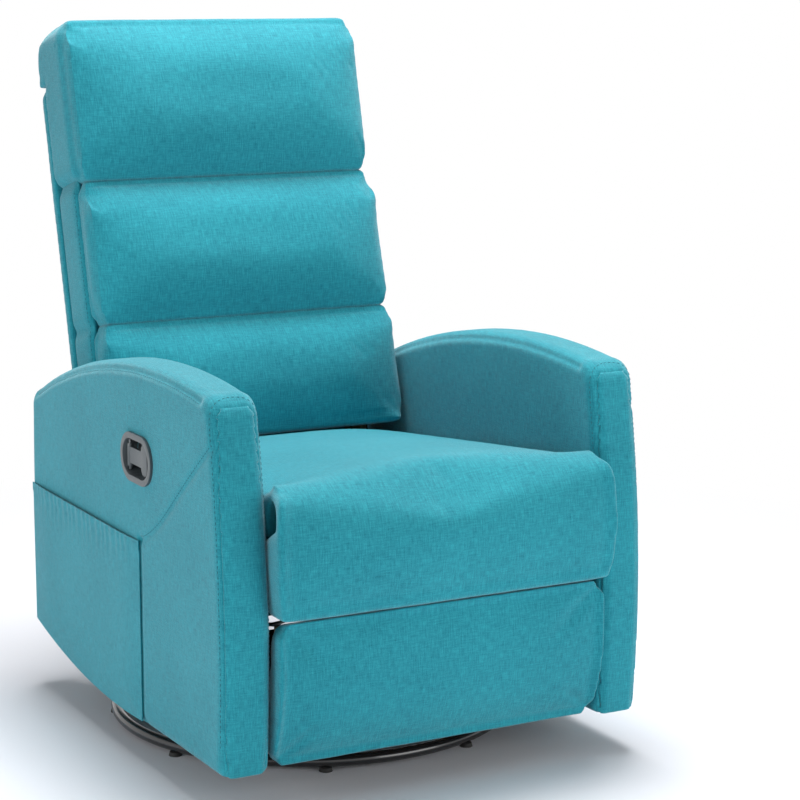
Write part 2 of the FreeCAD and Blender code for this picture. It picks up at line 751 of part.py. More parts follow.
def flap_hinge():
    """Wire hinge of the flap: a rod under the seat's nose and two arms down the flap."""
    front = ROLL_CENTRE[0] - ROLL_RADIUS + FLAP_THICK + 0.2
    bar = rod(ROLL_CENTRE[0], ROLL_CENTRE[1], 5.0, -232.0, 232.0)
    for x in (-160.0, 160.0):
        arm = stadium((ROLL_CENTRE[0], ROLL_CENTRE[1]), (front + 5.0, 330.0), 5.0, x - 8.0, x + 8.0)
        bar = bar.fuse(arm)
    return bar.removeSplitter()


def seat_roll():
    """Soft rolled nose between the seat top and the flap."""
    y, z = ROLL_CENTRE
    rear = SEAT_FRONT_Y - FIT
    wire = outline(
        (rear, z + ROLL_RADIUS - 2.0),
        ((y - ROLL_RADIUS * math.sqrt(0.5), z + ROLL_RADIUS * math.sqrt(0.5)), (y - ROLL_RADIUS, z + 4.0)),
        (y - ROLL_RADIUS + FLAP_THICK, z + 4.0),
        ((y - 20.0, z + 20.0), (rear, z + 24.0)),
    )
    return slab(wire, -259.0, 259.0)


# Seat

SEAT_FRAME_HIGH = 26.0


def seat_line(y):
    """Height of the seat's top along its slope."""
    share = (y - SEAT_FRONT_Y) / (SEAT_REAR_Y - SEAT_FRONT_Y)
    return SEAT_FRONT_Z + share * (SEAT_REAR_Z - SEAT_FRONT_Z)


def seat_crown():
    """The seat seen from the front, full in the middle, swept along its slope."""
    y = SEAT_FRONT_Y - 20.0
    top = seat_line(y)
    side = top - 16.0
    low = top - SEAT_THICK - 20.0
    bow = Part.Arc(V(-SEAT_HALF, y, side), V(0, y, top + 9.5), V(SEAT_HALF, y, side)).toShape()
    right = Part.LineSegment(V(SEAT_HALF, y, side), V(SEAT_HALF, y, low)).toShape()
    under = Part.LineSegment(V(SEAT_HALF, y, low), V(-SEAT_HALF, y, low)).toShape()
    left = Part.LineSegment(V(-SEAT_HALF, y, low), V(-SEAT_HALF, y, side)).toShape()
    run = SEAT_REAR_Y + 20.0 - y
    fall = seat_line(y + run) - top
    return Part.Face(Part.Wire([bow, right, under, left])).extrude(V(0, run, fall))


def seat_cushion():
    """Crowned seat cushion, its sides drawn in under the arms."""
    y0 = SEAT_FRONT_Y
    y1 = SEAT_REAR_Y
    wire = outline(
        (y0, SEAT_FRONT_Z - SEAT_THICK + 2.0),
        (y0, SEAT_FRONT_Z),
        ((-130.0, seat_line(-130.0) + 9.0), (y1 - 30.0, SEAT_REAR_Z)),
        ((y1 - 6.0, SEAT_REAR_Z - 16.0), (y1, SEAT_REAR_Z - 40.0)),
        (y1, SEAT_REAR_Z - SEAT_THICK + 2.0),
    )
    return slab(wire, -SEAT_HALF, SEAT_HALF).common(seat_crown())


def seat_strip(y_low, y_high, depth_top, depth_low, x_low, x_high):
    """A bar that follows the slope under the seat cushion."""
    wire = outline(
        (y_low, seat_line(y_low) - depth_low),
        (y_low, seat_line(y_low) - depth_top),
        (y_high, seat_line(y_high) - depth_top),
        (y_high, seat_line(y_high) - depth_low),
    )
    return slab(wire, x_low, x_high)


def seat_frame():
    """Wooden frame that carries the webbing under the seat cushion."""
    top = SEAT_THICK
    low = SEAT_THICK + SEAT_FRAME_HIGH
    front = seat_strip(SEAT_FRONT_Y + 6.0, SEAT_FRONT_Y + 34.0, top, low, -208.0, 208.0)
    rear = seat_strip(150.0, 178.0, top, low, -208.0, 208.0)
    right = seat_strip(SEAT_FRONT_Y + 6.0, 178.0, top, low, 208.0, 230.0)
    return Part.Compound([front, rear, right, mirrored(right)])


def seat_webbing():
    """Elastic straps across the seat frame."""
    straps = []
    for step in range(4):
        y = -310.0 + step * 120.0
        straps.append(seat_strip(y, y + 60.0, SEAT_THICK - 2.0, SEAT_THICK, -222.0, 222.0))
    return Part.Compound(straps)


# Back, built upright at its hinge as (w, v) and then leaned

def back_board():
    """Padded outside back panel."""
    low = BOARD_LOW_V
    middle = (BOARD_TOP_V + low) / 2
    half = (BOARD_TOP_V - low) / 2
    plate = round_plate(BACK_HALF, half, 26.0, BOARD_REAR_W - BACK_BOARD_THICK, BOARD_REAR_W, middle)
    return leaned(plate)


POST_W0 = BOARD_REAR_W - BACK_BOARD_THICK - POST_DEPTH
POST_W1 = BOARD_REAR_W - BACK_BOARD_THICK - 0.2
POST_IN = 214.0
POST_OUT = 240.0


def back_frame():
    """Wooden ladder frame inside the back."""
    post = box(POST_IN, POST_OUT, POST_W0, POST_W1, 74.0, 752.0)
    rails = []
    for v in (96.0, 400.0, 722.0):
        rails.append(box(-POST_IN, POST_IN, POST_W0, POST_W1, v, v + 30.0))
    return leaned(Part.Compound([post, mirrored(post)] + rails))


def back_webbing():
    """Elastic straps across the front of the back frame."""
    straps = []
    for step in range(5):
        v = 190.0 + step * 110.0
        straps.append(box(-POST_OUT + 4.0, POST_OUT - 4.0, POST_W0 - 2.0, POST_W0, v, v + 50.0))
    return leaned(Part.Compound(straps))


def back_brackets():
    """Steel ears that carry the back on its hinge pins."""
    wire = outline(
        (-15.0, 0.0),
        ((0.0, -15.0), (15.0, 0.0)),
        (POST_W1, 60.0),
        (POST_W1, 250.0),
        (POST_W0 + 2.0, 250.0),
        (POST_W0 + 2.0, 110.0),
    )
    plate = slab(wire, POST_OUT + 0.2, POST_OUT + 4.2)
    plate = plate.cut(rod(0.0, 0.0, BACK_PIN + RUN, POST_OUT - 5.0, POST_OUT + 10.0))
    for v in (140.0, 220.0):
        plate = plate.cut(rod((POST_W0 + POST_W1) / 2, v, 4.0, POST_OUT - 5.0, POST_OUT + 10.0))
    return leaned(both(plate))


PAD_REAR = POST_W0 - 2.0 - FIT


def back_plan(edge_w, crown_w, rear_w, low, high):
    """The back pillow seen from above: full in the middle, drawn in at its sides."""
    half = BACK_HALF
    bow = Part.Arc(V(-half, edge_w, low), V(0, crown_w, low), V(half, edge_w, low)).toShape()
    right = Part.LineSegment(V(half, edge_w, low), V(half, rear_w, low)).toShape()
    rear = Part.LineSegment(V(half, rear_w, low), V(-half, rear_w, low)).toShape()
    left = Part.LineSegment(V(-half, rear_w, low), V(-half, edge_w, low)).toShape()
    return Part.Face(Part.Wire([bow, right, rear, left])).extrude(V(0, 0, high - low))


def back_pad(low, high, low_w, crown_w, high_w, rear_w):
    """One crowned channel of the back pillow."""
    wire = outline(
        (rear_w, low + 3.0),
        (low_w + 24.0, low + 1.0),
        ((low_w + 7.0, low + 5.0), (low_w, low + 24.0)),
        ((crown_w, (low + high) / 2), (high_w, high - 24.0)),
        ((high_w + 7.0, high - 5.0), (high_w + 24.0, high - 1.0)),
        (rear_w, high - 3.0),
    )
    middle = (low + high) / 2
    half = (high - low) / 2
    pad = slab(wire, -BACK_HALF, BACK_HALF)
    pad = pad.common(round_plate(BACK_HALF + 4.0, half + 6.0, 44.0, -200.0, 120.0, middle))
    return pad.common(back_plan(crown_w + 30.0, crown_w - 16.0, 130.0, low - 10.0, high + 10.0))


def lower_back_pad():
    """Lumbar channel."""
    return leaned(back_pad(186.0, CREASE_LOW_V - FIT, -96.0, -112.0, -76.0, PAD_REAR))


def middle_back_pad():
    """Middle channel."""
    return leaned(back_pad(CREASE_LOW_V + FIT, CREASE_HIGH_V - FIT, -78.0, -104.0, -52.0, PAD_REAR))


def head_pad():
    """Head pillow that rolls over the top of the back frame."""
    front = back_pad(CREASE_HIGH_V + FIT, HEAD_TOP_V, -56.0, -88.0, -48.0, PAD_REAR)
    low = BOARD_TOP_V + 1.0
    high = HEAD_TOP_V
    wire = outline(
        (0.0, low),
        (BOARD_REAR_W - 12.0, low),
        ((BOARD_REAR_W - 5.0, low + 36.0), (BOARD_REAR_W - 34.0, high - 9.0)),
        ((24.0, high - 2.0), (0.0, high - 1.5)),
    )
    roll = slab(wire, -BACK_HALF, BACK_HALF)
    roll = roll.common(round_plate(BACK_HALF + 4.0, 66.0, 44.0, -200.0, 120.0, high - 60.0))
    return leaned(front.fuse(roll).removeSplitter())


FLAP_TOP_V = 182.0
FLAP_HALF = 1.0


def flap_hook():
    """Where the rear dust flap hangs on the back panel, in the side view."""
    lean = math.radians(BACK_LEAN)
    w = BOARD_REAR_W + FLAP_HALF + FIT
    y = BACK_HINGE[0] + w * math.cos(lean) + FLAP_TOP_V * math.sin(lean)
    z = BACK_HINGE[1] - w * math.sin(lean) + FLAP_TOP_V * math.cos(lean)
    return (y, z)


def rear_flap():
    """Black dust cloth that hangs below the outside back."""
    y, z = flap_hook()
    drop = 205.0
    sheet = round_plate(246.0, drop / 2, 36.0, y - FLAP_HALF, y + FLAP_HALF, z - drop / 2)
    return sheet.fuse(rod(y, z, FLAP_HALF, -208.0, 208.0)).removeSplitter()


# Write every node

padded_arm = arm_cover()
export("base_ring", base_ring())
export("base_feet", base_feet())
export("base_spokes", base_spokes())
export("swivel_hub", swivel_hub())
export("thrust_ring", thrust_ring())
export("swivel_plate", swivel_plate())
export("rocker_rails", rocker_rails())
export("rail_pads", rail_pads())
export("rocker_guides", rocker_guides())
export("guide_blocks", guide_blocks())
export("rocker_springs", rocker_springs())
export("rocker_cams", rocker_cams())
export("cross_tubes", cross_tubes())
export("side_rails", side_rails())
export("front_rail", front_rail())
export("rear_rail", rear_rail())
export("seat_posts", seat_posts())
board = arm_board()
export("left_arm_board", board)
export("right_arm_board", mirrored(board).cut(rod(HANDLE_AT[0], 250.0, 6.0, -ARM_OUTER, -HALF_GAP)))
export("left_arm_cover", padded_arm)
export("right_arm_cover", handle_recess(mirrored(padded_arm)))
front = arm_front()
export("left_arm_front", front)
export("right_arm_front", mirrored(front))
pocket = side_pocket()
export("left_pocket", pocket)
export("right_pocket", mirrored(pocket))
export("release_bezel", release_bezel())
export("release_paddle", release_paddle())
export("release_cable", release_cable())
plate = mechanism_plate()
export("left_mechanism_plate", plate)
export("right_mechanism_plate", mirrored(plate))
export("long_links", long_links())
export("cross_rod", cross_rod())
export("short_links", short_links())
export("knee_links", knee_links())
export("footrest_brackets", footrest_brackets())
export("footrest_board", footrest_board())
export("footrest_pad", footrest_pad())
export("front_flap", front_flap())
export("flap_hinge", flap_hinge())
export("seat_roll", seat_roll())
export("seat_cushion", seat_cushion())
export("seat_frame", seat_frame())
export("seat_webbing", seat_webbing())
export("back_board", back_board())
export("back_frame", back_frame())
export("back_webbing", back_webbing())
export("back_brackets", back_brackets())
export("lower_back_pad", lower_back_pad())
export("middle_back_pad", middle_back_pad())
export("head_pad", head_pad())
export("rear_flap", rear_flap())
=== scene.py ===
"""Dresses the swivel rocker recliner: padded cloth, seams, finishes, stage, light and camera."""
import json
import logging
import math
from dataclasses import dataclass, field
from enum import Enum
from typing import Any, Callable, Optional, Sequence

import bpy
import numpy as np
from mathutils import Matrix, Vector
from mathutils.bvhtree import BVHTree


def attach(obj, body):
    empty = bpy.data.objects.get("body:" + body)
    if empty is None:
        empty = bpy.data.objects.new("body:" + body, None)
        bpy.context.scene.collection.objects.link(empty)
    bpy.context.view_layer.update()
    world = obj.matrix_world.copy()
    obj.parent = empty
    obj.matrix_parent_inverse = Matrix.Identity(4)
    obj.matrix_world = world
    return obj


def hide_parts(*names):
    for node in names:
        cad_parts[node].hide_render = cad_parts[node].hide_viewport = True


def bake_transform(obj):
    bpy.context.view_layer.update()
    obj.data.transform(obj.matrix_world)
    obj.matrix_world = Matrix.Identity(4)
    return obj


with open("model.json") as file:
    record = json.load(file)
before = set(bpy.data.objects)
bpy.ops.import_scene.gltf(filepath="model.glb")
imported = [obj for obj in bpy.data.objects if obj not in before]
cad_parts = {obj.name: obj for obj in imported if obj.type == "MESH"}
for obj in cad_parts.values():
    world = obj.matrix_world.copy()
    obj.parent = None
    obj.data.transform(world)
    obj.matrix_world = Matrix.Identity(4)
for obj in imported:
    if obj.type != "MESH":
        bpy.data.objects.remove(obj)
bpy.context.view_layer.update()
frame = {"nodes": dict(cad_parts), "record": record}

LOG = logging.getLogger("recliner")
Colour = tuple[float, float, float]
Point = tuple[float, float, float]
Spot = tuple[float, float]
Reshape = Callable[[np.ndarray], np.ndarray]
MERGE_DISTANCE = 0.00001
HEM_ANGLE = 50.0
BACKDROP_RAYS = ("Is Camera Ray", "Is Glossy Ray", "Is Transmission Ray")


class Side(Enum):
    """The sitter's left or right, as the sign of X."""

    LEFT = 1
    RIGHT = -1

    @property
    def word(self) -> str:
        """The side's name as it starts a piece's name."""
        return self.name.lower()


class Grain(Enum):
    """The axis that a board's grain runs along."""

    ACROSS = "X"
    DEPTH = "Y"
    UPRIGHT = "Z"


# Modelling moves

class Bench:
    """Hand moves that every piece is made with."""

    @staticmethod
    def take(*objs: bpy.types.Object) -> None:
        """Select only these objects and make the first one active."""
        active = bpy.context.object
        if active and active.mode != "OBJECT":
            bpy.ops.object.mode_set(mode="OBJECT")
        bpy.ops.object.select_all(action="DESELECT")
        for obj in objs:
            obj.select_set(True)
        bpy.context.view_layer.objects.active = objs[0]

    @staticmethod
    def block(name: str, low: Sequence[float], high: Sequence[float]) -> bpy.types.Object:
        """Add a cube at its size and place.

        Args:
            name: the piece's name.
            low: lowest corner in metres.
            high: highest corner in metres.

        Returns:
            The new object, at the origin with its place in its mesh.
        """
        bpy.ops.object.select_all(action="DESELECT")
        middle = [(a + b) / 2 for a, b in zip(low, high)]
        size = [b - a for a, b in zip(low, high)]
        bpy.ops.mesh.primitive_cube_add(size=1.0, location=middle, scale=size)
        return Bench.place(name)

    @staticmethod
    def grid(name: str, columns: int, rows: int) -> bpy.types.Object:
        """Add a flat grid one metre square, centred on the origin."""
        bpy.ops.object.select_all(action="DESELECT")
        bpy.ops.mesh.primitive_grid_add(x_subdivisions=columns, y_subdivisions=rows, size=1.0)
        return Bench.place(name)

    @staticmethod
    def place(name: str) -> bpy.types.Object:
        """Name the new primitive and put its place into its mesh."""
        obj = bpy.context.object
        obj.name = name
        obj.data.name = name
        bpy.ops.object.transform_apply(location=True, rotation=True, scale=True)
        return obj

    @staticmethod
    def edit(obj: bpy.types.Object, move: Callable[..., Any], **settings: Any) -> None:
        """Do one edit-mode move on the whole mesh."""
        Bench.take(obj)
        bpy.ops.object.mode_set(mode="EDIT")
        bpy.ops.mesh.select_all(action="SELECT")
        move(**settings)
        bpy.ops.object.mode_set(mode="OBJECT")

    @staticmethod
    def copy_nodes(name: str, nodes: Sequence[str]) -> bpy.types.Object:
        """Copy frame solids into one new object with their points merged.

        Args:
            name: the new piece's name.
            nodes: names of the solids.

        Returns:
            The joined copy.
        """
        copies = []
        for node in nodes:
            copy = bpy.data.objects.new(name, frame["nodes"][node].data.copy())
            bpy.context.scene.collection.objects.link(copy)
            copy.data.materials.clear()
            copies.append(copy)
        return Bench.join(name, copies)

    @staticmethod
    def join(name: str, objs: Sequence[bpy.types.Object]) -> bpy.types.Object:
        """Join objects into the first one and merge touching points."""
        Bench.take(*objs)
        if len(objs) > 1:
            bpy.ops.object.join()
        obj = bpy.context.object
        obj.name = name
        Bench.edit(obj, bpy.ops.mesh.remove_doubles, threshold=MERGE_DISTANCE)
        return obj

    @staticmethod
    def modify(obj: bpy.types.Object, kind: str, **settings: Any) -> None:
        """Add a modifier with its settings and apply it."""
        modifier = obj.modifiers.new(kind.title(), kind)
        for key, value in settings.items():
            setattr(modifier, key, value)
        Bench.take(obj)
        bpy.ops.object.modifier_apply(modifier=modifier.name)

    @staticmethod
    def read(obj: bpy.types.Object) -> np.ndarray:
        """The object's points as rows of x, y and z."""
        places = np.zeros(len(obj.data.vertices) * 3, np.float32)
        obj.data.vertices.foreach_get("co", places)
        return places.reshape(-1, 3).astype(np.float64)

    @staticmethod
    def write(obj: bpy.types.Object, places: np.ndarray) -> None:
        """Move the object's points."""
        obj.data.vertices.foreach_set("co", places.astype(np.float32).ravel())
        obj.data.update()

    @staticmethod
    def normals(obj: bpy.types.Object) -> np.ndarray:
        """The outward direction at every point."""
        out = np.zeros(len(obj.data.vertices) * 3, np.float32)
        obj.data.vertex_normals.foreach_get("vector", out)
        return out.reshape(-1, 3).astype(np.float64)

    @staticmethod
    def smooth(obj: bpy.types.Object, degrees: float = 180.0) -> None:
        """Shade smooth up to an angle."""
        Bench.take(obj)
        bpy.ops.object.shade_smooth_by_angle(angle=math.radians(degrees))

    @staticmethod
    def thicken(obj: bpy.types.Object, thickness: float) -> float:
        """Give a flat cloth two faces and a weave.

        Args:
            obj: the cloth as a single layer.
            thickness: the cloth's thickness.

        Returns:
            The single layer's area in square metres.
        """
        Bench.edit(obj, bpy.ops.mesh.normals_make_consistent, inside=False)
        area = sum(face.area for face in obj.data.polygons)
        Bench.modify(obj, "SOLIDIFY", thickness=thickness, offset=0.0)
        Bench.smooth(obj, HEM_ANGLE)
        lay_weave(obj)
        return area


def ramp(value: np.ndarray, width: float) -> np.ndarray:
    """A value from 0 to 1 that grows evenly until the value given reaches a width."""
    return np.clip(value / width, 0.0, 1.0)


def arc(start: Spot, through: Spot, end: Spot, count: int) -> np.ndarray:
    """Points along the circular arc through three points of a plane.

    Args:
        start: first point.
        through: a point on the way.
        end: last point.
        count: number of points.

    Returns:
        The points as rows of two numbers.
    """
    (ax, ay), (bx, by), (cx, cy) = start, through, end
    twice = 2 * (ax * (by - cy) + bx * (cy - ay) + cx * (ay - by))
    sa, sb, sc = ax * ax + ay * ay, bx * bx + by * by, cx * cx + cy * cy
    ox = (sa * (by - cy) + sb * (cy - ay) + sc * (ay - by)) / twice
    oy = (sa * (cx - bx) + sb * (ax - cx) + sc * (bx - ax)) / twice
    radius = math.hypot(ax - ox, ay - oy)
    first = math.atan2(ay - oy, ax - ox)
    middle = (math.atan2(by - oy, bx - ox) - first) % (2 * math.pi)
    last = (math.atan2(cy - oy, cx - ox) - first) % (2 * math.pi)
    sweep = last if middle < last else last - 2 * math.pi
    turns = first + sweep * np.linspace(0.0, 1.0, count)
    return np.stack([ox + radius * np.cos(turns), oy + radius * np.sin(turns)], axis=1)


def trace(points: Sequence[Point], step: float = 0.003) -> np.ndarray:
    """A smooth line through points, at an even step.

    Args:
        points: places that the line passes.
        step: distance between the points given back.

    Returns:
        The line's points as rows of x, y and z.
    """
    rows = np.asarray(points, dtype=float)
    rows = np.vstack([2 * rows[0] - rows[1], rows, 2 * rows[-1] - rows[-2]])
    line = []
    for a, b, c, d in zip(rows[:-3], rows[1:-2], rows[2:-1], rows[3:]):
        t = np.linspace(0.0, 1.0, 24, endpoint=False)[:, None]
        square, cube = 2 * a - 5 * b + 4 * c - d, 3 * b - a - 3 * c + d
        line.append(0.5 * (2 * b + (c - a) * t + square * t ** 2 + cube * t ** 3))
    line = np.vstack(line + [rows[-2:-1]])
    run = np.concatenate([[0.0], np.cumsum(np.linalg.norm(np.diff(line, axis=0), axis=1))])
    stops = np.linspace(0.0, run[-1], max(2, int(run[-1] / step)))
    return np.stack([np.interp(stops, run, line[:, k]) for k in range(3)], axis=1)


@dataclass
class Seam:
    """A sewn line that pulls the cloth in."""

    path: np.ndarray
    width: float = 0.005
    depth: float = 0.004

    def press(self, obj: bpy.types.Object) -> None:
        """Draw the piece in along the line."""
        places = Bench.read(obj)
        reach = 3 * self.width
        near = np.all((places > self.path.min(0) - reach) & (places < self.path.max(0) + reach), axis=1)
        picked = np.nonzero(near)[0]
        closest = np.full(len(picked), 1.0)
        for knot in self.path:
            closest = np.minimum(closest, ((places[picked] - knot) ** 2).sum(1))
        pull = self.depth * np.exp(-closest / self.width ** 2)
        places[picked] -= Bench.normals(obj)[picked] * pull[:, None]
        Bench.write(obj, places)


@dataclass(frozen=True)
class Filling:
    """Foam and fibre under the cloth, and how far they swell it.

    Sizes are in metres; rounds and settle count the smoothing before and after the swelling.
    """

    voxel: float = 0.006
    pressure: float = 4.0
    cap: float = 0.024
    shrink: float = 0.012
    grow: float = 0.001
    rounds: int = 6
    frames: int = 20
    settle: int = 3
    stiff: float = 0.4
    stretch: float = 8.0
    mass: float = 0.3
    steps: int = 4
    firm: bool = False

    def stuff(self, obj: bpy.types.Object, held: Optional[Reshape] = None) -> None:
        """Turn a plain solid into a filled cushion.

        Args:
            obj: the solid, closed or of overlapping closed shapes.
            held: gives for each point how firmly it is held, from 0 to 1.
        """
        Bench.modify(obj, "DISPLACE", strength=self.grow, mid_level=0.0)
        Bench.modify(obj, "REMESH", mode="VOXEL", voxel_size=self.voxel)
        Bench.modify(obj, "SMOOTH", factor=0.5, iterations=self.rounds)
        if self.firm:
            return
        rest = Bench.read(obj)
        grip = np.zeros(len(rest)) if held is None else held(rest)
        Bench.write(obj, rest - Bench.normals(obj) * (self.shrink * (1.0 - grip))[:, None])
        rest = Bench.read(obj)
        if held is not None:
            group = obj.vertex_groups.new(name="held")
            for index in np.nonzero(grip > 0.01)[0]:
                group.add([int(index)], float(grip[index]), "REPLACE")
        cloth = obj.modifiers.new("Filling", "CLOTH")
        cloth.settings.use_pressure = True
        cloth.settings.uniform_pressure_force = self.pressure
        cloth.settings.effector_weights.gravity = 0.0
        cloth.settings.quality = self.steps
        cloth.settings.mass = self.mass
        cloth.settings.tension_stiffness = self.stretch
        cloth.settings.compression_stiffness = self.stretch
        cloth.settings.bending_stiffness = self.stiff
        cloth.collision_settings.use_collision = False
        if held is not None:
            cloth.settings.vertex_group_mass = "held"
        for number in range(1, self.frames + 1):
            bpy.context.scene.frame_set(number)
        puffed = Bench.read(obj.evaluated_get(bpy.context.evaluated_depsgraph_get()))
        obj.modifiers.remove(cloth)
        bpy.context.scene.frame_set(1)
        move = puffed - rest
        reach = np.maximum(np.linalg.norm(move, axis=1, keepdims=True), 1e-9)
        Bench.write(obj, rest + move / reach * self.cap * np.tanh(reach / self.cap))
        obj.vertex_groups.clear()
        Bench.modify(obj, "SMOOTH", factor=0.5, iterations=self.settle)


@dataclass
class Upholstery:
    """A cloth-covered piece that takes the place of frame solids."""

    name: str
    nodes: Sequence[str]
    filling: Filling
    fill: float = 0.7
    blocks: Sequence[tuple[Point, Point]] = ()
    seams: list[Seam] = field(default_factory=list)
    ripple: float = 0.0012
    ripple_size: float = 0.09

    def build(self, held: Optional[Reshape] = None, shape: Optional[Reshape] = None) -> bpy.types.Object:
        """Fill, shape and sew the piece.

        Args:
            held: how firmly each point is held while it swells.
            shape: moves the points after the filling.

        Returns:
            The finished piece.
        """
        parts = [Bench.copy_nodes(self.name, self.nodes)]
        for low, high in self.blocks:
            parts.append(Bench.block(self.name + "_block", low, high))
        obj = Bench.join(self.name, parts)
        self.filling.stuff(obj, held)
        if shape is not None:
            Bench.write(obj, shape(Bench.read(obj)))
        if not self.filling.firm:
            Bench.modify(obj, "SUBSURF", levels=1, render_levels=1)
        clouds = bpy.data.textures.new(self.name + "_lie", "CLOUDS")
        clouds.noise_scale = self.ripple_size
        Bench.modify(
            obj, "DISPLACE", texture=clouds, strength=self.ripple, mid_level=0.5, texture_coords="LOCAL",
        )
        for seam in self.seams:
            seam.press(obj)
        Bench.smooth(obj)
        lay_weave(obj)
        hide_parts(*self.nodes)
        return obj


def lay_weave(obj: bpy.types.Object) -> None:
    """Give a cloth piece a UV map in metres, laid from the axis each face looks along."""
    mesh = obj.data
    for layer in list(mesh.uv_layers):
        mesh.uv_layers.remove(layer)
    layer = mesh.uv_layers.new(name="cloth")
    count = len(mesh.polygons)
    facing = np.zeros(count * 3, np.float32)
    mesh.polygons.foreach_get("normal", facing)
    corners = np.zeros(count, np.int32)
    mesh.polygons.foreach_get("loop_total", corners)
    axis = np.repeat(np.abs(facing.reshape(-1, 3)).argmax(1), corners)
    owner = np.zeros(len(mesh.loops), np.int32)
    mesh.loops.foreach_get("vertex_index", owner)
    places = Bench.read(obj)[owner]
    u = np.where(axis == 0, places[:, 1], places[:, 0])
    v = np.where(axis == 2, places[:, 1], places[:, 2])
    layer.data.foreach_set("uv", np.stack([u, v], axis=1).astype(np.float32).ravel())


@dataclass(frozen=True)
class Stitching:
    """A row of thread stitches laid on a cloth piece."""

    length: float = 0.0046
    pitch: float = 0.0074
    radius: float = 0.0006
    sink: float = 0.35
    look_ahead: float = 0.002

    def sew(self, name: str, cover: bpy.types.Object, paths: Sequence[np.ndarray]) -> bpy.types.Object:
        """Lay stitches along lines on a piece.

        Args:
            name: the new piece's name.
            cover: the cloth piece that carries the stitches.
            paths: lines close to its surface.

        Returns:
            One object with all the stitches.
        """
        bpy.ops.object.select_all(action="DESELECT")
        bpy.ops.mesh.primitive_uv_sphere_add(segments=6, ring_count=4, radius=1.0)
        stitch = bpy.context.object
        stitch.name = name
        single = Bench.read(stitch) * (self.radius, self.radius, self.length / 2)
        faces = [tuple(face.vertices) for face in stitch.data.polygons]
        tree = BVHTree.FromObject(cover, bpy.context.evaluated_depsgraph_get())
        points: list[np.ndarray] = []
        polygons: list[tuple[int, ...]] = []
        for path in paths:
            run = np.concatenate([[0.0], np.cumsum(np.linalg.norm(np.diff(path, axis=0), axis=1))])
            for stop in np.arange(self.pitch, run[-1] - self.pitch, self.pitch):
                here, ahead = (
                    Vector([np.interp(stop + extra, run, path[:, k]) for k in range(3)])
                    for extra in (0.0, self.look_ahead)
                )
                spot, normal, _, _ = tree.find_nearest(here)
                along = (ahead - here).normalized()
                side = along.cross(normal).normalized()
                turn = np.array([side, normal, along])
                base = sum(len(part) for part in points)
                points.append(single @ turn + np.array(spot + normal * self.radius * self.sink))
                polygons.extend(tuple(base + corner for corner in face) for face in faces)
        mesh = bpy.data.meshes.new(name)
        mesh.from_pydata(np.vstack(points).tolist(), [], polygons)
        stitch.data = mesh
        Bench.smooth(stitch)
        return stitch


# Finishes

class Term:
    """A shader value that takes part in Python sums."""

    def __init__(self, tree: bpy.types.NodeTree, socket: bpy.types.NodeSocket) -> None:
        """Wrap one output socket."""
        self.tree = tree
        self.socket = socket

    def sum(self, operation: str, first: Any, second: Any = 0.0) -> "Term":
        """Add one Math node.

        Args:
            operation: what the node works out.
            first: its first value or term.
            second: its second value or term.

        Returns:
            The node's result.
        """
        node = self.tree.nodes.new("ShaderNodeMath")
        node.operation = operation
        for place, value in enumerate((first, second)):
            if isinstance(value, Term):
                self.tree.links.new(value.socket, node.inputs[place])
            else:
                node.inputs[place].default_value = value
        return Term(self.tree, node.outputs[0])

    def __add__(self, other: Any) -> "Term":
        """This and other."""
        return self.sum("ADD", self, other)

    def __radd__(self, other: Any) -> "Term":
        """Other and this."""
        return self.sum("ADD", other, self)

    def __sub__(self, other: Any) -> "Term":
        """This less other."""
        return self.sum("SUBTRACT", self, other)

    def __rsub__(self, other: Any) -> "Term":
        """Other less this."""
        return self.sum("SUBTRACT", other, self)

    def __mul__(self, other: Any) -> "Term":
        """This times other."""
        return self.sum("MULTIPLY", self, other)

    def __rmul__(self, other: Any) -> "Term":
        """Other times this."""
        return self.sum("MULTIPLY", other, self)

    def root(self) -> "Term":
        """The square root of this."""
        return self.sum("SQRT", self)

    def sine(self) -> "Term":
        """The sine of this."""
        return self.sum("SINE", self)

    def within(self) -> "Term":
        """This, kept from 0 to 1."""
        return self.sum("MAXIMUM", self.sum("MINIMUM", self, 1.0), 0.0)


def shows_backdrop(tree: bpy.types.NodeTree) -> Term:
    """1 for the rays that show the background itself, and 0 for those that light the chair."""
    path = tree.nodes.new("ShaderNodeLightPath")
    return sum((Term(tree, path.outputs[ray]) for ray in BACKDROP_RAYS), 0.0).within()


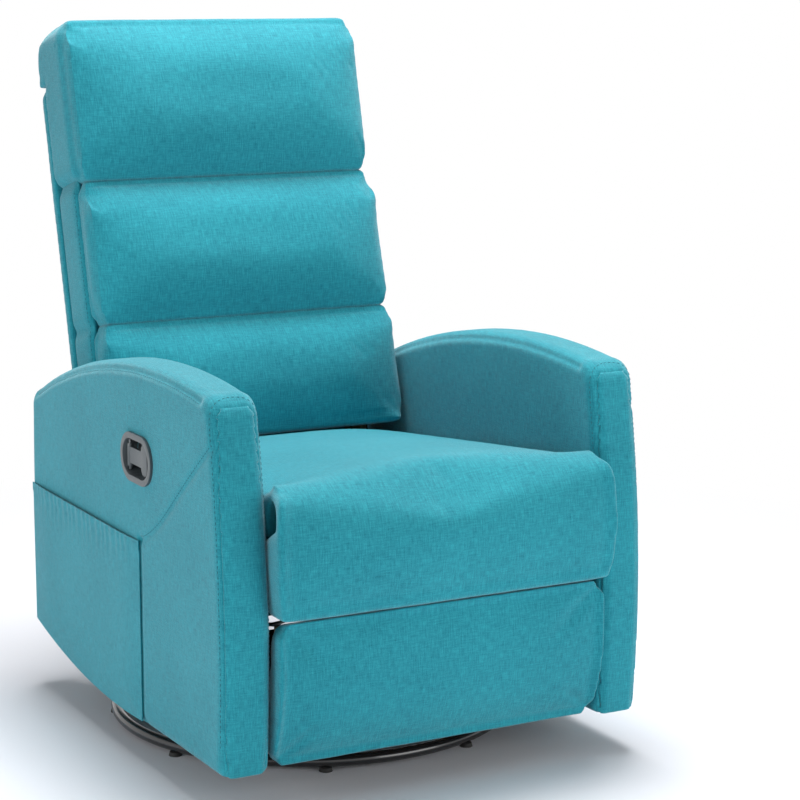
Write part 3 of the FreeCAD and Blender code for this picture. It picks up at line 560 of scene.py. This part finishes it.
class Recipe:
    """A material's nodes while it is put together."""

    def __init__(self, name: str) -> None:
        """Start an empty material."""
        self.material = bpy.data.materials.new(name)
        self.material.use_nodes = True
        self.tree = self.material.node_tree
        self.tree.nodes.clear()

    def node(
        self, kind: str, settings: Optional[dict] = None, inputs: Optional[dict] = None,
    ) -> bpy.types.Node:
        """Add a node.

        Args:
            kind: the node's type after ShaderNode.
            settings: its own settings, set first.
            inputs: values, terms or sockets for its inputs.

        Returns:
            The node.
        """
        made = self.tree.nodes.new("ShaderNode" + kind)
        for key, value in (settings or {}).items():
            setattr(made, key, value)
        for key, value in (inputs or {}).items():
            if isinstance(value, Term):
                self.tree.links.new(value.socket, made.inputs[key])
            elif isinstance(value, bpy.types.NodeSocket):
                self.tree.links.new(value, made.inputs[key])
            else:
                made.inputs[key].default_value = value
        return made

    def term(self, socket: bpy.types.NodeSocket) -> Term:
        """Wrap a socket for sums."""
        return Term(self.tree, socket)

    def cloth_place(self) -> tuple[Term, Term]:
        """Metres across and along the cloth."""
        parts = self.node("SeparateXYZ", None, {0: self.node("UVMap", {"uv_map": "cloth"}).outputs[0]})
        return self.term(parts.outputs[0]), self.term(parts.outputs[1])

    def solid_place(self) -> tuple[Term, Term, Term]:
        """Metres along X, Y and Z in the piece."""
        parts = self.node("SeparateXYZ", None, {0: self.node("TexCoord").outputs["Object"]})
        return self.term(parts.outputs[0]), self.term(parts.outputs[1]), self.term(parts.outputs[2])

    def noise(self, x: Any, y: Any, z: Any = 0.0, detail: float = 2.0) -> Term:
        """Soft noise that changes about once for every unit of its place."""
        place = self.node("CombineXYZ", None, {0: x, 1: y, 2: z})
        inputs = {"Vector": place.outputs[0], "Scale": 1.0, "Detail": detail}
        made = self.node("TexNoise", {"noise_dimensions": "3D"}, inputs)
        return self.term(made.outputs[0])

    def blend(self, share: Term, low: Colour, high: Colour) -> bpy.types.NodeSocket:
        """A colour between two, by a share from 0 to 1."""
        made = self.node("Mix", {"data_type": "RGBA"}, {0: share.within(), 6: (*low, 1.0), 7: (*high, 1.0)})
        return made.outputs[2]

    def finish(self, inputs: dict, height: Term, rise: float, strength: float) -> bpy.types.Material:
        """Close the material.

        Args:
            inputs: the shader's values and links.
            height: relief of the surface.
            rise: depth of that relief in metres.
            strength: how much of it shows.

        Returns:
            The material.
        """
        bump = self.node("Bump", None, {"Strength": strength, "Distance": rise, "Height": height})
        shader = self.node("BsdfPrincipled", None, {**inputs, "Normal": bump.outputs[0]})
        self.node("OutputMaterial", None, {0: shader.outputs[0]})
        return self.material


@dataclass(frozen=True)
class WovenCloth:
    """Slubby woven upholstery with a soft bloom."""

    name: str
    dark: Colour
    light: Colour
    bloom: float = 0.44
    bloom_tint: Colour = (0.85, 0.97, 1.0)
    pitch: float = 0.0017
    slub: Spot = (520.0, 62.0)
    fleck: float = 900.0
    lie: float = 7.0
    rise: float = 0.0009

    def make(self) -> bpy.types.Material:
        """Build the material."""
        recipe = Recipe(self.name)
        u, v = recipe.cloth_place()
        x, y, z = recipe.solid_place()
        wave = 2 * math.pi / self.pitch
        plain = (u * wave).sine() * (v * wave).sine()
        upright = recipe.noise(u * self.slub[0], v * self.slub[1])
        level = recipe.noise(u * self.slub[1], v * self.slub[0])
        fleck = recipe.noise(u * self.fleck, v * self.fleck, 0.0, 1.0)
        lie = recipe.noise(x * self.lie, y * self.lie, z * self.lie)
        share = (upright - 0.5) * 1.1 + (level - 0.5) * 0.8
        share = share + (fleck - 0.5) * 0.9 + (lie - 0.5) * 0.4 + 0.5
        height = plain * 0.3 + upright * 0.35 + level * 0.35 + fleck * 0.4
        return recipe.finish(
            {
                "Base Color": recipe.blend(share, self.dark, self.light),
                "Roughness": 0.92 - share * 0.14,
                "Specular IOR Level": 0.25,
                "Sheen Weight": self.bloom,
                "Sheen Roughness": 0.45,
                "Sheen Tint": (*self.bloom_tint, 1.0),
            },
            height, self.rise, 0.45,
        )


@dataclass(frozen=True)
class PlainThread:
    """Twisted sewing thread."""

    name: str
    colour: Colour

    def make(self) -> bpy.types.Material:
        """Build the material."""
        recipe = Recipe(self.name)
        x, y, z = recipe.solid_place()
        twist = recipe.noise(x * 2200.0, y * 2200.0, z * 2200.0, 1.0)
        pale = tuple(min(1.0, part * 1.5) for part in self.colour)
        inputs = {"Base Color": recipe.blend(twist, self.colour, pale), "Roughness": 0.7}
        return recipe.finish(inputs, twist, 0.0003, 0.4)


@dataclass(frozen=True)
class DustCloth:
    """Black bonded cloth with a pressed dimple pattern."""

    name: str
    dark: Colour
    light: Colour

    def make(self) -> bpy.types.Material:
        """Build the material."""
        recipe = Recipe(self.name)
        u, v = recipe.cloth_place()
        dimple = (u * 2100.0).sine() * (v * 2100.0).sine()
        fibre = recipe.noise(u * 300.0, v * 300.0)
        share = fibre + dimple * 0.2
        return recipe.finish(
            {
                "Base Color": recipe.blend(share, self.dark, self.light),
                "Roughness": 0.95 - fibre * 0.1,
                "Sheen Weight": 0.1,
            },
            share, 0.0008, 0.5,
        )


@dataclass(frozen=True)
class Strap:
    """Elastic webbing with ribs along it."""

    name: str
    dark: Colour
    light: Colour

    def make(self) -> bpy.types.Material:
        """Build the material."""
        recipe = Recipe(self.name)
        x, y, z = recipe.solid_place()
        rib = (z * 1500.0 + y * 1500.0).sine()
        cross = (x * 1900.0).sine()
        share = rib * 0.3 + cross * 0.2 + 0.5
        inputs = {"Base Color": recipe.blend(share, self.dark, self.light), "Roughness": 0.85 - share * 0.1}
        return recipe.finish(inputs, share, 0.0006, 0.6)


@dataclass(frozen=True)
class Coated:
    """Paint, plastic or rubber: one colour with a fine skin."""

    name: str
    colour: Colour
    rough: float
    spread: float
    scale: float
    rise: float
    coat: float = 0.0

    def make(self) -> bpy.types.Material:
        """Build the material."""
        recipe = Recipe(self.name)
        x, y, z = recipe.solid_place()
        skin = recipe.noise(x * self.scale, y * self.scale, z * self.scale, 3.0)
        dust = recipe.noise(x * 14.0, y * 14.0, z * 14.0, 4.0)
        pale = tuple(min(1.0, part * 1.5 + 0.006) for part in self.colour)
        return recipe.finish(
            {
                "Base Color": recipe.blend(dust * 0.7 + skin * 0.3, self.colour, pale),
                "Roughness": self.rough - self.spread * 0.5 + (dust * 0.6 + skin * 0.4) * self.spread,
                "Coat Weight": self.coat,
            },
            skin, self.rise, 0.35,
        )


@dataclass(frozen=True)
class BareSteel:
    """Drawn steel wire with fine scratches."""

    name: str
    colour: Colour

    def make(self) -> bpy.types.Material:
        """Build the material."""
        recipe = Recipe(self.name)
        x, y, z = recipe.solid_place()
        scratch = recipe.noise(x * 900.0, y * 900.0, z * 120.0)
        dull = tuple(part * 0.6 for part in self.colour)
        return recipe.finish(
            {
                "Base Color": recipe.blend(scratch, dull, self.colour),
                "Metallic": 1.0,
                "Roughness": 0.28 + scratch * 0.25,
            },
            scratch, 0.0003, 0.3,
        )


@dataclass(frozen=True)
class Timber:
    """Raw softwood with its grain along one axis."""

    name: str
    grain: Grain
    dark: Colour = (0.36, 0.22, 0.11)
    light: Colour = (0.62, 0.45, 0.27)

    def make(self) -> bpy.types.Material:
        """Build the material."""
        recipe = Recipe(self.name)
        stretch = {axis: 6.0 if axis == self.grain.value else 95.0 for axis in "XYZ"}
        x, y, z = recipe.solid_place()
        fibre = recipe.noise(x * stretch["X"], y * stretch["Y"], z * stretch["Z"], 4.0)
        wide = [part * stretch[axis] * 0.2 for part, axis in zip((x, y, z), "XYZ")]
        rings = (recipe.noise(*wide) * 38.0).sine()
        share = fibre * 0.7 + rings * 0.18 + 0.1
        return recipe.finish(
            {"Base Color": recipe.blend(share, self.dark, self.light), "Roughness": 0.72 - share * 0.14},
            fibre, 0.0006, 0.4,
        )


class Finishes:
    """Every finish of the chair, made once."""

    def __init__(self) -> None:
        """Make the finishes."""
        self.cloth = WovenCloth("teal_woven_cloth", (0.004, 0.172, 0.232), (0.026, 0.405, 0.490)).make()
        self.thread = PlainThread("teal_thread", (0.010, 0.120, 0.155)).make()
        self.timbers = {grain: Timber("softwood_" + grain.name.lower(), grain).make() for grain in Grain}
        slots = {
            "black_cloth": DustCloth("black_dust_cloth", (0.008, 0.008, 0.009), (0.030, 0.030, 0.032)),
            "webbing": Strap("elastic_webbing", (0.030, 0.028, 0.026), (0.170, 0.160, 0.145)),
            "black_steel": Coated("gloss_black_paint", (0.010, 0.010, 0.011), 0.24, 0.16, 420.0, 0.0002, 0.4),
            "spring_steel": BareSteel("spring_wire", (0.46, 0.46, 0.47)),
            "bearing_plastic": Coated("bearing_plastic", (0.55, 0.55, 0.52), 0.45, 0.15, 300.0, 0.0002),
            "rubber": Coated("black_rubber", (0.014, 0.014, 0.014), 0.78, 0.16, 500.0, 0.0004),
            "black_plastic": Coated(
                "moulded_plastic", (0.060, 0.074, 0.082), 0.40, 0.16, 1100.0, 0.0004, 0.1,
            ),
        }
        self.slots = {slot: finish.make() for slot, finish in slots.items()}

    @staticmethod
    def dress(obj: bpy.types.Object, material: bpy.types.Material) -> None:
        """Give an object one material all over."""
        obj.data.materials.clear()
        obj.data.materials.append(material)

    def dress_node(self, node: str, grain: Optional[Grain] = None) -> None:
        """Dress a frame solid in the finish of its slot.

        Args:
            node: the solid's name.
            grain: the grain of a wooden piece.
        """
        slots = {part["node"]: part["material_slot"] for part in frame["record"]["subparts"]}
        material = self.timbers[grain] if grain else self.slots[slots[node]]
        self.dress(frame["nodes"][node], material)
        LOG.info("dressed %s", node)


# Sub-assemblies

@dataclass
class SwivelBase:
    """Tube ring, feet, spokes, hub and rocker: steel that keeps its solids."""

    nodes: tuple[str, ...] = (
        "base_ring", "base_feet", "base_spokes", "swivel_hub", "thrust_ring", "swivel_plate", "rocker_rails",
        "rail_pads", "rocker_guides", "guide_blocks", "rocker_springs", "rocker_cams", "cross_tubes",
    )

    def dress(self, finishes: Finishes) -> None:
        """Dress every solid in its slot's finish."""
        for node in self.nodes:
            finishes.dress_node(node)


@dataclass
class Carcass:
    """Wooden frame, webbing and the steel mechanism inside the upholstery."""

    across: tuple[str, ...] = ("front_rail", "rear_rail", "footrest_board")
    depth: tuple[str, ...] = ("side_rails", "seat_frame", "left_arm_board", "right_arm_board")
    upright: tuple[str, ...] = ("seat_posts", "back_frame")
    fittings: tuple[str, ...] = (
        "seat_webbing", "back_webbing", "left_mechanism_plate", "right_mechanism_plate", "long_links",
        "cross_rod", "short_links", "knee_links", "footrest_brackets", "back_brackets", "flap_hinge",
        "release_cable",
    )

    def dress(self, finishes: Finishes) -> None:
        """Dress every solid, with the grain along each board."""
        boards = {Grain.ACROSS: self.across, Grain.DEPTH: self.depth, Grain.UPRIGHT: self.upright}
        for grain, nodes in boards.items():
            for node in nodes:
                finishes.dress_node(node, grain)
        for node in self.fittings:
            finishes.dress_node(node)


@dataclass
class Arm:
    """One slim arm: padded cover, front panel, pocket and its sewn lines."""

    side: Side
    outer: float = 0.337
    inner: float = 0.264
    pocket_front: float = -0.134
    pocket_rear: float = 0.318
    pocket_top: float = 0.335
    thickness: float = 0.0016
    cover_filling: Filling = Filling(voxel=0.004, rounds=4, firm=True)
    front_filling: Filling = Filling(voxel=0.0025, rounds=4, firm=True)

    def at(self, x: float, y: float, z: float) -> Point:
        """A point on this arm, with X measured outwards."""
        return (self.side.value * x, y, z)

    def front_line(self, back: float, x: float) -> list[Point]:
        """The joint of cover and front panel, some way behind it."""
        rows = arc((-0.412, 0.040), (-0.421, 0.250), (-0.380, 0.620), 40)
        return [self.at(x, y + back, z) for y, z in rows if 0.085 < z < 0.556]

    def top_line(self, x: float, drop: float) -> list[Point]:
        """The seam along the arm's arched top."""
        rows = arc((-0.357, 0.585), (-0.027, 0.583), (0.301, 0.491), 24)
        return [self.at(x, y, z - drop) for y, z in rows]

    def seam_lines(self) -> dict[str, np.ndarray]:
        """Every sewn line on the cover."""
        crown = ((0.326, -0.383, 0.574), (0.300, -0.379, 0.583), (0.275, -0.383, 0.574))
        over = [self.at(*place) for place in crown]
        curve = ((-0.134, 0.337), (-0.163, 0.346), (-0.218, 0.379), (-0.320, 0.460), (-0.399, 0.520))
        rise = self.front_line(0.006, self.outer)
        fall = self.front_line(0.006, self.inner)[::-1]
        return {
            "front": trace(rise + over + fall),
            "outer_top": trace(self.top_line(0.3345, 0.010)),
            "inner_top": trace(self.top_line(0.2665, 0.010)),
            "sweep": trace([self.at(self.outer, y, z) for y, z in curve]),
            "upright": trace([self.at(self.outer, -0.136, z) for z in (0.337, 0.062)]),
        }

    def build(self, finishes: Finishes) -> None:
        """Make the cover, the front panel, the pocket and the stitches."""
        word = self.side.word
        lines = self.seam_lines()
        depths = {"outer_top": 0.0035, "inner_top": 0.0030, "sweep": 0.0030, "upright": 0.0030}
        seams = [Seam(lines[line], 0.005, depth) for line, depth in depths.items()]
        cover = Upholstery(
            word + "_arm_upholstery", [word + "_arm_cover"], self.cover_filling, 0.9,
            blocks=[self.core()], seams=seams, ripple=0.0008,
        )
        padded = cover.build()
        front = Upholstery(
            word + "_arm_front_panel", [word + "_arm_front"], self.front_filling, 0.9, ripple=0.0006,
        )
        panel = front.build()
        rows = [lines["sweep"] + self.at(0, 0.002, 0.004), lines["upright"] + self.at(0, 0.0045, 0)]
        rows += [lines["front"], lines["outer_top"] - self.at(0, 0, 0.005)]
        stitches = Stitching().sew(word + "_arm_stitches", padded, rows)
        pocket = self.pocket()
        for piece in (padded, panel, pocket):
            finishes.dress(piece, finishes.cloth)
            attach(piece, "chassis")
        finishes.dress(stitches, finishes.thread)
        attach(stitches, "chassis")
        LOG.info("built the %s arm", word)

    def core(self) -> tuple[Point, Point]:
        """A block that closes the cover over its board."""
        near, far = sorted((self.side.value * 0.288, self.side.value * 0.314))
        return (near, -0.392, 0.090), (far, 0.300, 0.470)

    def pocket(self) -> bpy.types.Object:
        """The cloth pocket: sewn on three sides, its hem standing a little open."""
        columns, rows = 96, 60
        obj = Bench.grid(self.side.word + "_pocket_cloth", columns, rows)
        places = Bench.read(obj)
        across = places[:, 0] + 0.5
        up = places[:, 1] + 0.5
        floor = arc((self.pocket_front, 0.064), (0.097, 0.068), (self.pocket_rear, 0.109), 80)
        y = self.pocket_front + across * (self.pocket_rear - self.pocket_front)
        low = np.interp(y, floor[:, 0], floor[:, 1])
        z = low + up * (self.pocket_top - low)
        edge = np.minimum(np.minimum(across, 1 - across) * 6.0, up * 5.0)
        fullness = np.sin(np.clip(edge, 0.0, 1.0) * math.pi / 2)
        hem = ramp(z - (self.pocket_top - 0.016), 0.004)
        gather = np.exp(-((self.pocket_top - z) / 0.035) ** 2)
        gather = gather * np.sin(y * 310.0 + np.sin(y * 90.0)) * 0.0007
        x = self.outer + 0.0012 + 0.0034 * fullness + 0.0010 * hem + gather * fullness
        Bench.write(obj, np.stack([self.side.value * x, y, z], axis=1))
        area = Bench.thicken(obj, self.thickness)
        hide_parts(self.side.word + "_pocket")
        return obj


@dataclass
class ReleaseHandle:
    """Oval cup with its hammer-headed pull lever."""

    rim_round: float = 0.0014
    lever_round: float = 0.0011

    def build(self, finishes: Finishes) -> None:
        """Round the moulded edges of both pieces."""
        for node, body, width in (
            ("release_bezel", "chassis", self.rim_round),
            ("release_paddle", "release_paddle", self.lever_round),
        ):
            piece = Bench.copy_nodes(node + "_moulding", [node])
            Bench.modify(piece, "DECIMATE", decimate_type="DISSOLVE", angle_limit=math.radians(2.0))
            Bench.modify(
                piece, "BEVEL", width=width, segments=3, limit_method="ANGLE", angle_limit=math.radians(40.0),
            )
            Bench.smooth(piece, 35.0)
            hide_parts(node)
            finishes.dress(piece, finishes.slots["black_plastic"])
            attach(piece, body)
            LOG.info("built %s", piece.name)


def between_arms(places: np.ndarray, limit: float = 0.2628) -> np.ndarray:
    """Places moved in where they would reach into an arm."""
    moved = places.copy()
    moved[:, 0] = np.clip(moved[:, 0], -limit, limit)
    return moved


@dataclass
class Seat:
    """Seat cover that runs from the seat's top, over the nose and down the front flap."""

    roll_y: float = -0.407
    roll_z: float = 0.414
    arm_front: float = -0.430
    flap_rear: float = -0.450
    flap_return: float = 0.036
    front_y: float = -0.4015
    front_z: float = 0.470
    rear_z: float = 0.404
    depth: float = 0.5905
    flap_low: float = 0.279
    filling: Filling = Filling(voxel=0.006, cap=0.024, shrink=0.008, grow=0.003, settle=8, stiff=1.0)

    def held(self, places: np.ndarray) -> np.ndarray:
        """The underside rests on the webbing; the flap is held by its hinge and sewn round its edge."""
        y, z = places[:, 1], places[:, 2]
        slope = self.front_z + (y - self.front_y) / self.depth * (self.rear_z - self.front_z)
        under = ramp(slope - 0.066 - z, 0.010) * (y > self.roll_y)
        behind = ramp(y + 0.442, 0.006) * (z < 0.405) * (y < self.roll_y + 0.01)
        hem = ramp(0.300 - z, 0.016) * (y < self.roll_y)
        sides = ramp(np.abs(places[:, 0]) - 0.246, 0.010) * ramp(slope - 0.012 - z, 0.014)
        return np.maximum.reduce([under, behind, hem, sides])

    def shape(self, places: np.ndarray) -> np.ndarray:
        """Spread the nose in front of the arms, keep the rest between them and turn the flap's sides back."""
        x, y, z = places.T
        ahead = ramp(self.arm_front + 0.004 - y, 0.030)
        ahead = ahead * ahead * (3.0 - 2.0 * ahead)
        height = ramp(z - self.flap_low, 0.185)
        edge = ramp(np.abs(x) - 0.228, 0.018)
        rear = ramp(y - self.flap_rear, 0.008) * (y < self.roll_y - 0.010)
        low = ramp(self.roll_z - 0.010 - z, 0.020)
        moved = between_arms(places)
        moved[:, 0] *= 1.0 + ahead * (0.026 * np.sin(height * math.pi) + 0.010)
        moved[:, 1] += self.flap_return * edge * rear * low
        return moved

    def build(self, finishes: Finishes) -> None:
        """Make the cover and blend it over the flap's hinge."""
        piece = Upholstery("seat_upholstery", ["seat_cushion", "seat_roll", "front_flap"], self.filling, 0.75)
        obj = piece.build(self.held, self.shape)
        finishes.dress(obj, finishes.cloth)
        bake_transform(obj)
        LOG.info("built the seat")


@dataclass
class Footrest:
    """Padded panel that closes the front of the chair."""

    middle_z: float = 0.1695
    filling: Filling = Filling(voxel=0.005, cap=0.022, shrink=0.009, grow=0.003)

    def held(self, places: np.ndarray) -> np.ndarray:
        """The rear rests on the board, and the edge is drawn round it."""
        y, z = places[:, 1], places[:, 2]
        front = -0.455 + (0.273 - z) / 0.207 * 0.025
        rear = ramp(y - front - 0.026, 0.008)
        rim = ramp(np.abs(z - self.middle_z) - 0.094, 0.009)
        sides = ramp(np.abs(places[:, 0]) - 0.251, 0.008)
        return np.maximum.reduce([rear, rim, sides])

    def build(self, finishes: Finishes) -> None:
        """Make the pad."""
        piece = Upholstery("footrest_upholstery", ["footrest_pad"], self.filling, 0.75)
        obj = piece.build(self.held, between_arms)
        finishes.dress(obj, finishes.cloth)
        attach(obj, "footrest")
        LOG.info("built the footrest")


@dataclass
class BackRest:
    """Three sewn channels between side gussets, in front of a padded outside panel."""

    hinge_y: float = 0.193
    hinge_z: float = 0.225
    lean: float = math.radians(14.0)
    gusset_front: float = -0.020
    gusset_rear: float = 0.062
    creases: tuple[float, float] = (0.368, 0.600)
    tuck_top: float = 0.230
    gusset_top: float = 0.606
    pillow_rear: float = 0.060
    pad_rear: float = 0.033
    filling: Filling = Filling(voxel=0.005, cap=0.026, shrink=0.007, grow=0.004)

    def out(self, x: np.ndarray, w: np.ndarray, v: np.ndarray) -> np.ndarray:
        """Places in the room of points given across, behind and up the back."""
        y = self.hinge_y + w * math.cos(self.lean) + v * math.sin(self.lean)
        z = self.hinge_z - w * math.sin(self.lean) + v * math.cos(self.lean)
        return np.stack([x, y, z], axis=-1)

    def spot(self, x: float, w: float, v: float) -> Point:
        """One such place."""
        return tuple(float(part) for part in self.out(np.array(x), np.array(w), np.array(v)))

    def own(self, places: np.ndarray) -> tuple[np.ndarray, np.ndarray, np.ndarray]:
        """Across, behind and up the back of places in the room."""
        y = places[:, 1] - self.hinge_y
        z = places[:, 2] - self.hinge_z
        behind = y * math.cos(self.lean) - z * math.sin(self.lean)
        return places[:, 0], behind, y * math.sin(self.lean) + z * math.cos(self.lean)

    def held(self, places: np.ndarray) -> np.ndarray:
        """A channel's rear rests on the webbing, and its ends and sides are sewn."""
        x, w, v = self.own(places)
        rear = ramp(w - 0.004, 0.008)
        ends = ramp(0.012 - np.minimum(v - v.min(), v.max() - v), 0.008)
        sides = ramp(np.abs(x) - 0.240, 0.014) * ramp(w - self.gusset_front + 0.018, 0.016)
        return np.maximum.reduce([rear, ends, sides])

    def shape(self, places: np.ndarray) -> np.ndarray:
        """Draw a channel's sides in behind the gusset's front edge and tuck its foot behind the seat."""
        x, w, v = self.own(places)
        behind = ramp(w - self.gusset_front + 0.010, 0.014)
        below = ramp(self.gusset_top - v, 0.012)
        tuck = ramp(self.tuck_top - v, 0.040)
        return self.out(x * (1.0 - 0.075 * behind * below), w, v - 0.013 * tuck)

    def pillow(self, places: np.ndarray) -> np.ndarray:
        """Let the head pillow's sides run back to the outside panel."""
        x, w, v = self.own(places)
        share = ramp(w - self.gusset_front, self.pad_rear - self.gusset_front)
        lower = ramp(0.790 - v, 0.030)
        return self.out(x, w + share * lower * (self.pillow_rear - self.pad_rear), v)

    def tucks(self) -> list[Seam]:
        """Gathered folds at the head pillow's top corners."""
        folds = []
        for side in Side:
            s = side.value
            for start, end in (
                ((0.252, -0.006, 0.838), (0.205, -0.052, 0.806)),
                ((0.250, 0.004, 0.846), (0.196, -0.022, 0.850)),
                ((0.256, -0.016, 0.822), (0.236, -0.060, 0.772)),
            ):
                ends = [self.spot(s * start[0], *start[1:]), self.spot(s * end[0], *end[1:])]
                folds.append(Seam(trace(ends), 0.005, 0.0035))
        return folds

    def gusset(self, side: Side, finishes: Finishes) -> bpy.types.Object:
        """The strip that closes one side of the back."""
        low = (0.238, self.gusset_front, 0.190)
        high = (0.2575, self.gusset_rear, self.gusset_top)
        obj = Bench.block(side.word + "_back_gusset", low, high)
        Bench.modify(obj, "BEVEL", width=0.006, segments=3)
        Bench.modify(obj, "REMESH", mode="VOXEL", voxel_size=0.005)
        Bench.modify(obj, "SMOOTH", factor=0.5, iterations=12)
        Bench.modify(obj, "SUBSURF", levels=1, render_levels=1)
        places = Bench.read(obj)
        full = np.sin(ramp(places[:, 1] - low[1], high[1] - low[1]) * math.pi)
        nip = sum(np.exp(-((places[:, 2] - crease) / 0.010) ** 2) for crease in self.creases)
        outward = ramp(places[:, 0] - 0.248, 0.006)
        places[:, 0] += outward * (0.0015 * full - 0.0045 * nip)
        Bench.write(obj, self.out(side.value * places[:, 0], places[:, 1], places[:, 2]))
        Bench.edit(obj, bpy.ops.mesh.normals_make_consistent, inside=False)
        Bench.smooth(obj)
        lay_weave(obj)
        finishes.dress(obj, finishes.cloth)
        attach(obj, "back")
        return obj

    def build(self, finishes: Finishes) -> None:
        """Make the channels, gussets, outside panel and stitches."""
        for name, node, seams, shape in (
            ("lumbar_channel", "lower_back_pad", [], self.shape),
            ("middle_channel", "middle_back_pad", [], self.shape),
            ("head_pillow", "head_pad", self.tucks(), self.pillow),
        ):
            obj = Upholstery(name, [node], self.filling, 0.75, seams=seams).build(self.held, shape)
            finishes.dress(obj, finishes.cloth)
            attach(obj, "back")
            LOG.info("built %s", name)
        for side in Side:
            strip = self.gusset(side, finishes)
            s = side.value
            heights = np.linspace(0.20, self.gusset_top - 0.012, 12)
            row = [self.spot(s * 0.259, self.gusset_front + 0.005, v) for v in heights]
            stitches = Stitching().sew(side.word + "_gusset_stitches", strip, [trace(row)])
            finishes.dress(stitches, finishes.thread)
            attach(stitches, "back")
        firm = Filling(voxel=0.004, rounds=6, firm=True)
        obj = Upholstery("outside_back_panel", ["back_board"], firm, 0.85, ripple=0.0008).build()
        finishes.dress(obj, finishes.cloth)
        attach(obj, "back")
        LOG.info("built the back")


@dataclass
class DustFlap:
    """Black cloth that hangs under the outside back."""

    hook_y: float = 0.3188
    hook_z: float = 0.381
    half: float = 0.246
    drop: float = 0.205
    corner: float = 0.036
    thickness: float = 0.0012

    def build(self, finishes: Finishes) -> None:
        """Hang the cloth in soft folds."""
        obj = Bench.grid("rear_dust_cloth", 80, 36)
        places = Bench.read(obj)
        across = places[:, 0] * 2
        down = 0.5 - places[:, 1]
        reach = self.half * np.ones_like(down)
        into = np.clip(down * self.drop - (self.drop - self.corner), 0.0, self.corner)
        reach -= self.corner - np.sqrt(np.maximum(self.corner ** 2 - into ** 2, 0.0))
        x = across * reach
        fold = 0.0030 * np.sin(x * 31.0) * down + 0.0012 * np.sin(x * 74.0 + 0.7) * down
        y = self.hook_y + 0.0010 + fold
        z = self.hook_z - down * self.drop
        Bench.write(obj, np.stack([x, y, z], axis=1))
        area = Bench.thicken(obj, self.thickness)
        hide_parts("rear_flap")
        finishes.dress(obj, finishes.slots["black_cloth"])
        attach(obj, "rear_flap")
        LOG.info("built the dust cloth")


@dataclass
class Studio:
    """Pale floor, soft light and the camera."""

    azimuth: float = math.radians(-28.1)
    elevation: float = math.radians(10.3)
    distance: float = 3.602
    target: Point = (0.1269, -0.039, 0.491)
    lens: float = 103.94
    shift: tuple[float, float] = (0.0094, -0.0038)
    floor: Colour = (0.82, 0.83, 0.88)
    sky: float = 0.24
    near: float = 0.50
    far: float = 1.8

    def build(self) -> None:
        """Set the whole stage."""
        self.camera()
        self.ground()
        self.lamp("key", (0.3, 0.35, 3.3), (0.0, -0.1, 0.5), 1.6, 132.0)
        self.lamp("side", (-3.0, -0.5, 0.8), (0.0, 0.0, 0.5), 0.8, 27.0)
        self.lamp("fill", (1.4, -2.9, 0.8), (0.0, -0.3, 0.4), 2.0, 42.0)
        self.surround()
        bpy.context.scene.view_settings.view_transform = "Standard"

    def surround(self) -> None:
        """White all round for the eye, softer as a light."""
        world = bpy.data.worlds.new("studio")
        world.use_nodes = True
        tree = world.node_tree
        seen = shows_backdrop(tree)
        backdrop = tree.nodes["Background"]
        backdrop.inputs[0].default_value = (1.0, 1.0, 1.0, 1.0)
        tree.links.new((seen * (1.0 - self.sky) + self.sky).socket, backdrop.inputs[1])
        bpy.context.scene.world = world

    def camera(self) -> None:
        """Stand the camera where the photograph was taken."""
        back = Vector((
            math.sin(self.azimuth) * math.cos(self.elevation),
            -math.cos(self.azimuth) * math.cos(self.elevation),
            math.sin(self.elevation),
        ))
        data = bpy.data.cameras.new("camera")
        data.lens = self.lens
        data.sensor_width = 36.0
        data.shift_x, data.shift_y = self.shift
        camera = bpy.data.objects.new("camera", data)
        camera.location = Vector(self.target) + back * self.distance
        camera.rotation_euler = back.to_track_quat("Z", "Y").to_euler()
        bpy.context.scene.collection.objects.link(camera)
        bpy.context.scene.camera = camera

    def ground(self) -> None:
        """Lay the pale floor."""
        bpy.ops.object.select_all(action="DESELECT")
        bpy.ops.mesh.primitive_plane_add(size=40.0, location=(0.0, 0.0, 0.0))
        floor = bpy.context.object
        floor.name = "floor"
        recipe = Recipe("pale_floor")
        x, y, _ = recipe.solid_place()
        tone = recipe.noise(x * 0.8, y * 0.8)
        paler = tuple(min(1.0, part + 0.02) for part in self.floor)
        colour = recipe.blend(tone, self.floor, paler)
        matt = recipe.node("BsdfPrincipled", None, {"Base Color": colour, "Roughness": 0.9})
        white = recipe.node("Emission", None, {0: (1.0, 1.0, 1.0, 1.0), 1: 1.0})
        away = (x * x + y * y).root()
        share = ((away - self.near) * (1.0 / (self.far - self.near))).within() * shows_backdrop(recipe.tree)
        mixed = recipe.node("MixShader", None, {0: share, 1: matt.outputs[0], 2: white.outputs[0]})
        recipe.node("OutputMaterial", None, {0: mixed.outputs[0]})
        floor.data.materials.append(recipe.material)

    def lamp(self, name: str, place: Point, aim: Point, size: float, power: float) -> None:
        """Hang one soft square lamp.

        Args:
            name: the lamp's name.
            place: where it hangs.
            aim: what it points at.
            size: its side in metres.
            power: its power in watts.
        """
        data = bpy.data.lights.new(name, "AREA")
        data.size = size
        data.energy = power
        lamp = bpy.data.objects.new(name, data)
        lamp.location = place
        lamp.rotation_euler = (Vector(place) - Vector(aim)).to_track_quat("Z", "Y").to_euler()
        bpy.context.scene.collection.objects.link(lamp)


def main() -> None:
    """Build and dress every sub-assembly in order."""
    logging.basicConfig(level=logging.INFO, format="%(message)s")
    finishes = Finishes()
    Studio().build()
    SwivelBase().dress(finishes)
    Carcass().dress(finishes)
    for side in Side:
        Arm(side).build(finishes)
    ReleaseHandle().build(finishes)
    Seat().build(finishes)
    Footrest().build(finishes)
    BackRest().build(finishes)
    DustFlap().build(finishes)


if __name__ == "__main__":
    main()
